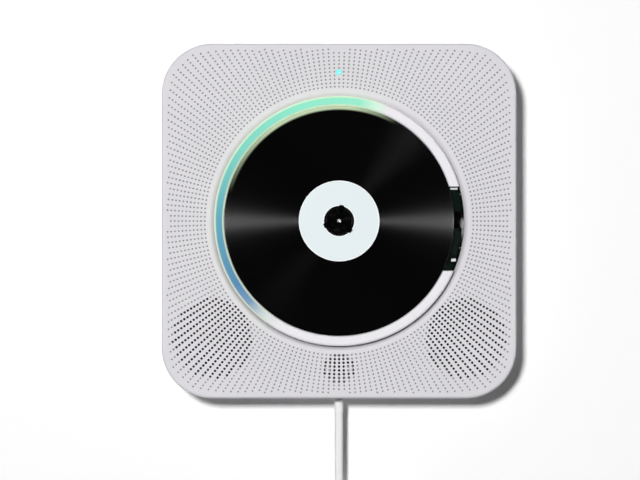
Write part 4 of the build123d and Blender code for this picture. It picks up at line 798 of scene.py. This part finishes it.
def front_cover_mesh(settings):
    """The cover's own shape with a front face that is dimpled all over."""
    plate_start = 0.0675
    work = merged_mesh("front_cover")
    plate = []
    for face in work.faces:
        face.material_index = 0
        outside = all(on_face(v) and hypot(v.co.x, v.co.z) > plate_start for v in face.verts)
        if face.normal.y < -0.999 and outside:
            plate.append(face)
    bmesh.ops.delete(work, geom=plate, context="FACES")
    values = {"Rim Radius": settings.rim_radius, "Floor Radius": settings.floor_radius}
    values["Depth"] = settings.depth
    bowls = run_nodes(dimple_tree(), dimple_points(settings), values)
    before = set(work.faces)
    work.from_mesh(bowls)
    for face in work.faces:
        if face not in before:
            face.material_index = 1
    bmesh.ops.remove_doubles(work, verts=work.verts, dist=MERGED)
    edges, loop_of = face_loops(work)
    verts = list(loop_of)
    rims = {}
    for vert, loop in loop_of.items():
        if in_grille(vert.co.x, vert.co.z, GRILLE_MARGIN) and on_face(vert):
            rims.setdefault(loop, []).append(vert)
    for rim in rims.values():
        middle = sum((v.co for v in rim), Vector()) / len(rim)
        if max((v.co - middle).length for v in rim) < settings.rim_radius * 1.4:
            for vert in rim:
                vert.co = middle + (vert.co - middle) * settings.grille_flare
    place = {vert: index for index, vert in enumerate(verts)}
    flat = [Vector((v.co.x / MM, v.co.z / MM)) for v in verts]
    outer = loop_of[max(verts, key=lambda v: v.co.x)]
    links = [tuple(place[v] for v in e.verts) for e in edges]
    made = delaunay_2d_cdt(flat, links, [], 0, MERGED, True)
    source = [ids[0] if ids else None for ids in made[3]]
    for triangle in made[2]:
        ends = [source[index] for index in triangle]
        if None in ends:
            raise RuntimeError("the face pattern has crossing loops")
        corners = [verts[index] for index in ends]
        loops = {loop_of[v] for v in corners}
        if len(loops) == 1 and loops != {outer}:
            continue
        if (corners[1].co - corners[0].co).cross(corners[2].co - corners[0].co).y > 0:
            corners.reverse()
        if work.faces.get(corners) is None:
            work.faces.new(corners).material_index = 0
    work.normal_update()
    # Painted shade: the walls of the grille holes near the face get material 2, the near-black grille
    # material, standing in for the dark inside them.
    for face in work.faces:
        middle = face.calc_center_median()
        near_face = abs(face.normal.y) < 0.2 and middle.y < FACE_Y + PAINTED_HOLE_DEPTH
        if near_face and in_grille(middle.x, middle.z, GRILLE_MARGIN):
            face.material_index = 2
    return finished_mesh(work, "front_cover_shell")


class PLAYER_OT_front_cover(bpy.types.Operator):
    """Make the dimpled front cover"""

    bl_idname = "cd_player.front_cover"
    bl_label = "Front Cover"

    def execute(self, context):
        settings = context.scene.cd_cover
        mesh = front_cover_mesh(settings)
        mesh.materials.append(material_for("case_white"))
        # Painted shade: the dimples' floors are darkened to 0.38 of the moulding, standing in for the shade
        # inside them.
        shade = darker(tuple(settings.colour), 0.38)
        mesh.materials.append(moulded("dimple_floor_painted_shade", shade, 0.6, 2200.0, 0.1, 0.95))
        # Painted shade: this near-black material goes on the walls of the grille holes, standing in for the
        # dark inside them.
        mesh.materials.append(moulded("grille_hole_painted_shade", grey(0.003), 0.9, 2200.0, 0.1, 0.6, 0.0, 0.1))
        soften(mesh, 20.0)
        piece = new_object("front_cover_shell", mesh, "front_cover")
        weigh_normals(piece)
        return {"FINISHED"}


# --- light ring


class PLAYER_OT_light_ring(bpy.types.Operator):
    """Make the milky light ring, open at the window"""

    bl_idname = "cd_player.light_ring"
    bl_label = "Light Ring"

    def execute(self, context):
        settings = context.scene.cd_ring
        low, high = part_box("light_ring")
        foot, top = -high.y, -low.y
        inner, outer, edge = settings.inner_radius, settings.outer_radius, settings.edge_round
        wall, ceiling = settings.channel_wall, foot + settings.channel_height
        outline = [(inner, foot), (inner + wall, foot), (inner + wall, ceiling)]
        outline += [(outer - wall, ceiling), (outer - wall, foot), (outer, foot)]
        outline += rounded_corner((outer - edge, top - edge), edge, 0, 90, 8)
        outline += rounded_corner((inner + edge, top - edge), edge, 90, 180, 8)
        window_top, window_bottom = 0.0181, -0.0261
        start = [degrees(asin(window_top / radius)) for radius, _ in outline]
        end = [360 + degrees(asin(window_bottom / radius)) for radius, _ in outline]
        mesh = turned_mesh("light_ring_guide", outline, 300, start, end, 30.0)
        new_object("light_ring_guide", mesh, "light_ring")
        return {"FINISHED"}


# --- disc


class PLAYER_OT_disc(bpy.types.Operator):
    """Make the grooved disc and its label"""

    bl_idname = "cd_player.disc"
    bl_label = "Disc and Label"

    def execute(self, context):
        settings = context.scene.cd_disc
        low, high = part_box("disc")
        back, front = -high.y, -low.y
        outer, bore, edge = settings.disc_radius, 0.0075, 0.00035
        outline = [(bore, back), (bore, front)]
        outline += list(reversed(rounded_corner((outer - edge, front - edge), edge, 0, 90, 4)))
        outline += list(reversed(rounded_corner((outer - edge, back + edge), edge, -90, 0, 4)))
        mesh = turned_mesh("grooved_disc", outline, 256)
        new_object("grooved_disc", mesh, "disc")
        low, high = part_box("disc_label")
        back, front = -high.y, -low.y
        inner, outer = 0.0079, 0.0211
        rim, sunk = 0.0005, 0.00006
        slope = rim * 1.3
        outline = [(inner, back), (inner, front), (inner + rim, front), (inner + slope, front - sunk)]
        outline += [(outer - slope, front - sunk), (outer - rim, front), (outer, front), (outer, back)]
        mesh = turned_mesh("disc_label_print", outline, 160, angle=10.0)
        mesh.materials.append(material_for("label_white"))
        mesh.materials.append(moulded("label_rim", srgb(250, 252, 252), 0.3, 2600.0, 0.02, 0.99))
        for face in mesh.polygons:
            radius = hypot(face.center.x, face.center.z)
            if radius < inner + rim or radius > outer - rim:
                face.material_index = 1
        new_object("disc_label_print", mesh, "disc_label")
        return {"FINISHED"}


# --- cord and hank


def hank_route(settings):
    """Control points of the cord: straight down, out and in round the hank's two layers, and down again."""
    entry_depth, top_z, top_gap = 0.022, -0.138, 0.0042
    stations = 8  # in one loop
    start_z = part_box("cord")[1].z
    turning = 2 * settings.folds - 1
    reach = settings.run_half + settings.fold_radius + settings.fold_step * turning / stations
    middle_z = top_z - reach - top_gap
    end_z = 2 * middle_z - top_z
    layers = [entry_depth - k * settings.layer_step for k in range(4)]

    def wound(station):
        return min(station, 2 * turning - station) / stations

    def fold_radius(station):
        return settings.fold_radius + settings.fold_step * wound(station)

    def depth(station):
        if abs(station - turning) < 0.5:
            return (layers[1] + layers[2]) / 2
        return layers[1] if station < turning else layers[2]

    def swing(a, b):
        """The two control points between a and b, which the cord passes straight up or down."""
        a, b = Vector(a), Vector(b)
        rise = b.z - a.z
        straight = (b - a).length_squared / (4 * abs(rise)) * (1 if rise > 0 else -1)
        return [a + Vector((0, 0, straight)), b - Vector((0, 0, straight))]

    waist = settings.waist
    points = [Vector((0, -entry_depth, start_z)), Vector((0, -entry_depth, top_z))]
    upper_z, lower_z = middle_z + settings.run_half, middle_z - settings.run_half
    entry = (-waist, -(layers[0] + layers[1]) / 2, middle_z)
    points += swing((0, -layers[0], upper_z), entry)
    points += swing(entry, (-fold_radius(0), -layers[1], lower_z))
    quarter_steps = 3
    half_step = 90 / quarter_steps / 2
    for fold in range(settings.folds):
        lower = fold % 2 == 0
        centre_z = lower_z if lower else upper_z
        first = 180 if lower else 0
        for k in range(2 * quarter_steps):
            turn = (2 * k + 1) * half_step
            station = 4 * fold + turn / 90
            radius = fold_radius(station) / cos(radians(half_step))
            angle = radians(first + turn)
            points.append(Vector((radius * cos(angle), -depth(4 * fold), centre_z + radius * sin(angle))))
        if fold == settings.folds - 1:
            break
        side = 1 if lower else -1
        station = 4 * fold + 3
        other_z = upper_z if lower else lower_z
        middle = (side * (waist + settings.waist_step * wound(station)), -depth(station), middle_z)
        points += swing((side * fold_radius(station - 1), -depth(station - 1), centre_z), middle)
        points += swing(middle, (side * fold_radius(station + 1), -depth(station + 1), other_z))
    leave = (-waist, -(layers[2] + layers[3]) / 2, middle_z)
    points += swing((-fold_radius(4 * settings.folds - 2), -layers[2], upper_z), leave)
    points += swing(leave, (0, -layers[3], lower_z))
    points.append(Vector((0, -layers[3], end_z)))
    return points


class PLAYER_OT_cord(bpy.types.Operator):
    """Make the cord with its put away hank"""

    bl_idname = "cd_player.cord"
    bl_label = "Cord and Hank"

    def execute(self, context):
        settings = context.scene.cd_cord
        points = hank_route(settings)
        curve = bpy.data.curves.new("pull_cord", "CURVE")
        curve.dimensions = "3D"
        spline = curve.splines.new("NURBS")
        spline.points.add(len(points) - 1)
        for point, place in zip(spline.points, points):
            point.co = (*place, 1.0)
        spline.order_u = 3
        spline.use_endpoint_u = True
        spline.use_smooth = True
        curve.resolution_u = 6
        curve.bevel_depth = settings.diameter / 2
        curve.bevel_resolution = 4
        curve.use_fill_caps = True
        curve.materials.append(material_for("cord_white"))
        piece = bpy.data.objects.new("pull_cord", curve)
        context.scene.collection.objects.link(piece)
        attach(piece, BODY_OF["cord"])
        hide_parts("cord", "cord_hank")
        smooth_copy("cord_sleeve", "pull_cord_sleeve")
        smooth_copy("cord_plug", "plug_body")
        smooth_copy("plug_shell", "plug_contact_shell")
        smooth_copy("cord_tie", "hank_tie")
        return {"FINISHED"}


# --- the other pieces


class PLAYER_OT_case(bpy.types.Operator):
    """Give the back cover, buttons and bracket smooth fillets"""

    bl_idname = "cd_player.case"
    bl_label = "Case and Buttons"

    def execute(self, context):
        smooth_copy("rear_cover", "rear_cover_shell", 20.0)
        smooth_copy("wall_bracket", "wall_bracket_plate")
        for button in ("volume_down", "volume_up", "play", "previous", "next"):
            smooth_copy(f"button_{button}", f"button_{button}_cap")
        board = smooth_copy("deck_board", "deck_board_finished")
        board.data.materials.append(moulded("solder_mask_white", srgb(225, 230, 226), 0.5, 3000.0, 0.1, 0.95))
        mask_depth = 0.0011
        board_top = -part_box("deck_board")[0].y - mask_depth
        for face in board.data.polygons:
            if -face.center.y > board_top:
                face.material_index = 1
        for node in ("turntable", "spindle_shaft", "claw_top", "claw_left", "claw_right", "indicator_lens"):
            smooth_copy(node, node + "_finished")
        spring = smooth_copy("return_spring", "return_spring_wire")
        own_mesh(spring)
        return {"FINISHED"}


class PLAYER_OT_inner_pieces(bpy.types.Operator):
    """Give every CAD node that stays its finished material"""

    bl_idname = "cd_player.inner_pieces"
    bl_label = "Inner Pieces"

    def execute(self, context):
        for name, node in NODES.items():
            if node.hide_render:
                continue
            node.data.materials.clear()
            node.data.materials.append(material_for(SLOT_OF[name]))
        return {"FINISHED"}


# --- stage


def stage_material(name, colour, shown):
    """Pale matt surface that can't be seen from behind; shown is its colour for the camera."""
    material, tree, _ = new_material(name)
    output = next(node for node in tree.nodes if node.type == "OUTPUT_MATERIAL")
    drift = map_range(tree, noise(tree, object_point(tree), 1.5), 0.3, 0.7, 0.0, 0.02)
    tint = mix_colour(tree, drift, colour, grey(0.8))
    seen = tree.nodes.new("ShaderNodeLightPath").outputs["Is Camera Ray"]
    paint = tree.nodes.new("ShaderNodeBsdfDiffuse")
    feed(tree, paint.inputs["Color"], mix_colour(tree, seen, tint, shown))
    clear = tree.nodes.new("ShaderNodeBsdfTransparent")
    behind = tree.nodes.new("ShaderNodeNewGeometry").outputs["Backfacing"]
    side = tree.nodes.new("ShaderNodeMixShader")
    for socket, value in zip(side.inputs, (behind, paint.outputs[0], clear.outputs[0])):
        feed(tree, socket, value)
    feed(tree, output.inputs["Surface"], side.outputs[0])
    return material


def stage_plane(name, corners, material):
    mesh = bpy.data.meshes.new(name)
    mesh.from_pydata(corners, [], [(0, 1, 2, 3)])
    mesh.materials.append(material)
    plane = bpy.data.objects.new(name, mesh)
    bpy.context.scene.collection.objects.link(plane)
    return plane


def area_light(name, place, target, size, power, mirrored):
    """Lamp that is either mirrored in shiny pieces or lights the matt ones."""
    light = bpy.data.lights.new(name, "AREA")
    light.shape = "RECTANGLE"
    light.size, light.size_y = size
    light.energy = power
    lamp = bpy.data.objects.new(name, light)
    lamp.location = place
    lamp.rotation_euler = (Vector(target) - Vector(place)).to_track_quat("-Z", "Y").to_euler()
    lamp.visible_camera = False
    lamp.visible_diffuse = not mirrored
    lamp.visible_glossy = mirrored
    bpy.context.scene.collection.objects.link(lamp)


def flag_material():
    """Black cloth in front of the player, which only shows in its shiny pieces."""
    material, tree, shader = new_material("flag_cloth")
    weave = noise(tree, object_point(tree), 400.0)
    tint = mix_colour(tree, weave, grey(0.002), grey(0.006))
    feed_all(tree, shader, {"Base Color": tint, "Roughness": 1.0, "Specular IOR Level": 0.0})
    return material


def plain_studio(strength):
    """World that lights the pieces softly and shows white where it is seen or mirrored."""
    world = bpy.data.worlds.new("plain_studio")
    world.use_nodes = True
    tree = world.node_tree
    path = tree.nodes.new("ShaderNodeLightPath")
    seen = path.outputs["Is Camera Ray"]
    for ray in ("Is Glossy Ray", "Is Transmission Ray"):
        seen = math_node(tree, "MAXIMUM", seen, path.outputs[ray])
    level = map_range(tree, seen, 0.0, 1.0, strength)
    feed_all(tree, tree.nodes["Background"], {"Color": WHITE, "Strength": level})
    return world


class PLAYER_OT_stage(bpy.types.Operator):
    """Make the wall, floor, lights and camera"""

    bl_idname = "cd_player.stage"
    bl_label = "Stage"

    def execute(self, context):
        settings = context.scene.cd_stage
        wide, wall_y, wall_top = 2.5, 0.0006, 2.0
        floor_z, floor_front = -0.42, -2.2
        flag_half, flag_y = 3.0, -2.4
        wall = stage_material("plain_wall", grey(0.45), grey(1.0))
        wall_corners = [(-wide, wall_y, floor_z), (wide, wall_y, floor_z)]
        wall_corners += [(wide, wall_y, wall_top), (-wide, wall_y, wall_top)]
        backdrop = stage_plane("wall_backdrop", wall_corners, wall)
        backdrop.visible_shadow = backdrop.visible_glossy = False
        floor = stage_material("plain_floor", grey(0.1), grey(0.9))
        floor_corners = [(-wide, floor_front, floor_z), (wide, floor_front, floor_z)]
        floor_corners += [(wide, 0.0, floor_z), (-wide, 0.0, floor_z)]
        stage_plane("floor", floor_corners, floor).visible_glossy = False
        lamps = (
            ("key_light", (-0.28, -2.3, 0.25), (0.17, 0.17), settings.key_power, False),
            ("left_strip", (-1.25, -1.15, 0.0), (0.9, 0.13), settings.strip_power, True),
            ("right_strip", (1.25, -1.15, 0.0), (0.9, 0.13), settings.strip_power, True),
            ("rear_light", (-1.1, 2.2, 0.3), (1.2, 1.2), settings.rear_power, False),
            ("upper_strip", (0.85, -1.15, 1.0), (0.4, 0.4), settings.strip_power / 4, True),
        )
        for name, place, size, power, mirrored in lamps:
            area_light(name, place, (0.0, -0.03, 0.0), size, power, mirrored)
        flag_corners = [(-flag_half, flag_y, -flag_half), (-flag_half, flag_y, flag_half)]
        flag_corners += [(flag_half, flag_y, flag_half), (flag_half, flag_y, -flag_half)]
        flag = stage_plane("black_flag", flag_corners, flag_material())
        flag.visible_camera = flag.visible_diffuse = flag.visible_shadow = False
        context.scene.world = plain_studio(settings.world_strength)
        camera_data = bpy.data.cameras.new("camera")
        camera = bpy.data.objects.new("camera", camera_data)
        camera.location = (-10.0 * MM, FACE_Y - settings.distance, -9.95 * MM)
        camera.rotation_euler = (radians(90), 0, 0)
        camera_data.sensor_width = 36.0
        camera_data.lens = camera_data.sensor_width * settings.distance / settings.view_width
        camera_data.clip_start, camera_data.clip_end = 0.01, 20.0
        context.scene.collection.objects.link(camera)
        context.scene.camera = camera
        context.scene.view_settings.view_transform = "Standard"
        return {"FINISHED"}


# --- panel, registering and main

STEPS = (
    PLAYER_OT_front_cover,
    PLAYER_OT_light_ring,
    PLAYER_OT_disc,
    PLAYER_OT_case,
    PLAYER_OT_cord,
    PLAYER_OT_inner_pieces,
    PLAYER_OT_stage,
)


class PLAYER_PT_pieces(bpy.types.Panel):
    """Lists the steps that build the player"""

    bl_idname = "PLAYER_PT_pieces"
    bl_label = "CD Player"
    bl_space_type = "VIEW_3D"
    bl_region_type = "UI"
    bl_category = "CD Player"

    def draw(self, context):
        for step in STEPS:
            self.layout.operator(step.bl_idname)


CLASSES = (*SETTINGS.values(), *STEPS, PLAYER_PT_pieces)


def register():
    for item in CLASSES:
        bpy.utils.register_class(item)
    for name, kind in SETTINGS.items():
        setattr(bpy.types.Scene, name, bpy.props.PointerProperty(type=kind))


def unregister():
    for name in SETTINGS:
        delattr(bpy.types.Scene, name)
    for item in reversed(CLASSES):
        bpy.utils.unregister_class(item)


def main():
    register()
    for step in STEPS:
        space, name = step.bl_idname.split(".")
        getattr(getattr(bpy.ops, space), name)()


if __name__ == "__main__":
    main()
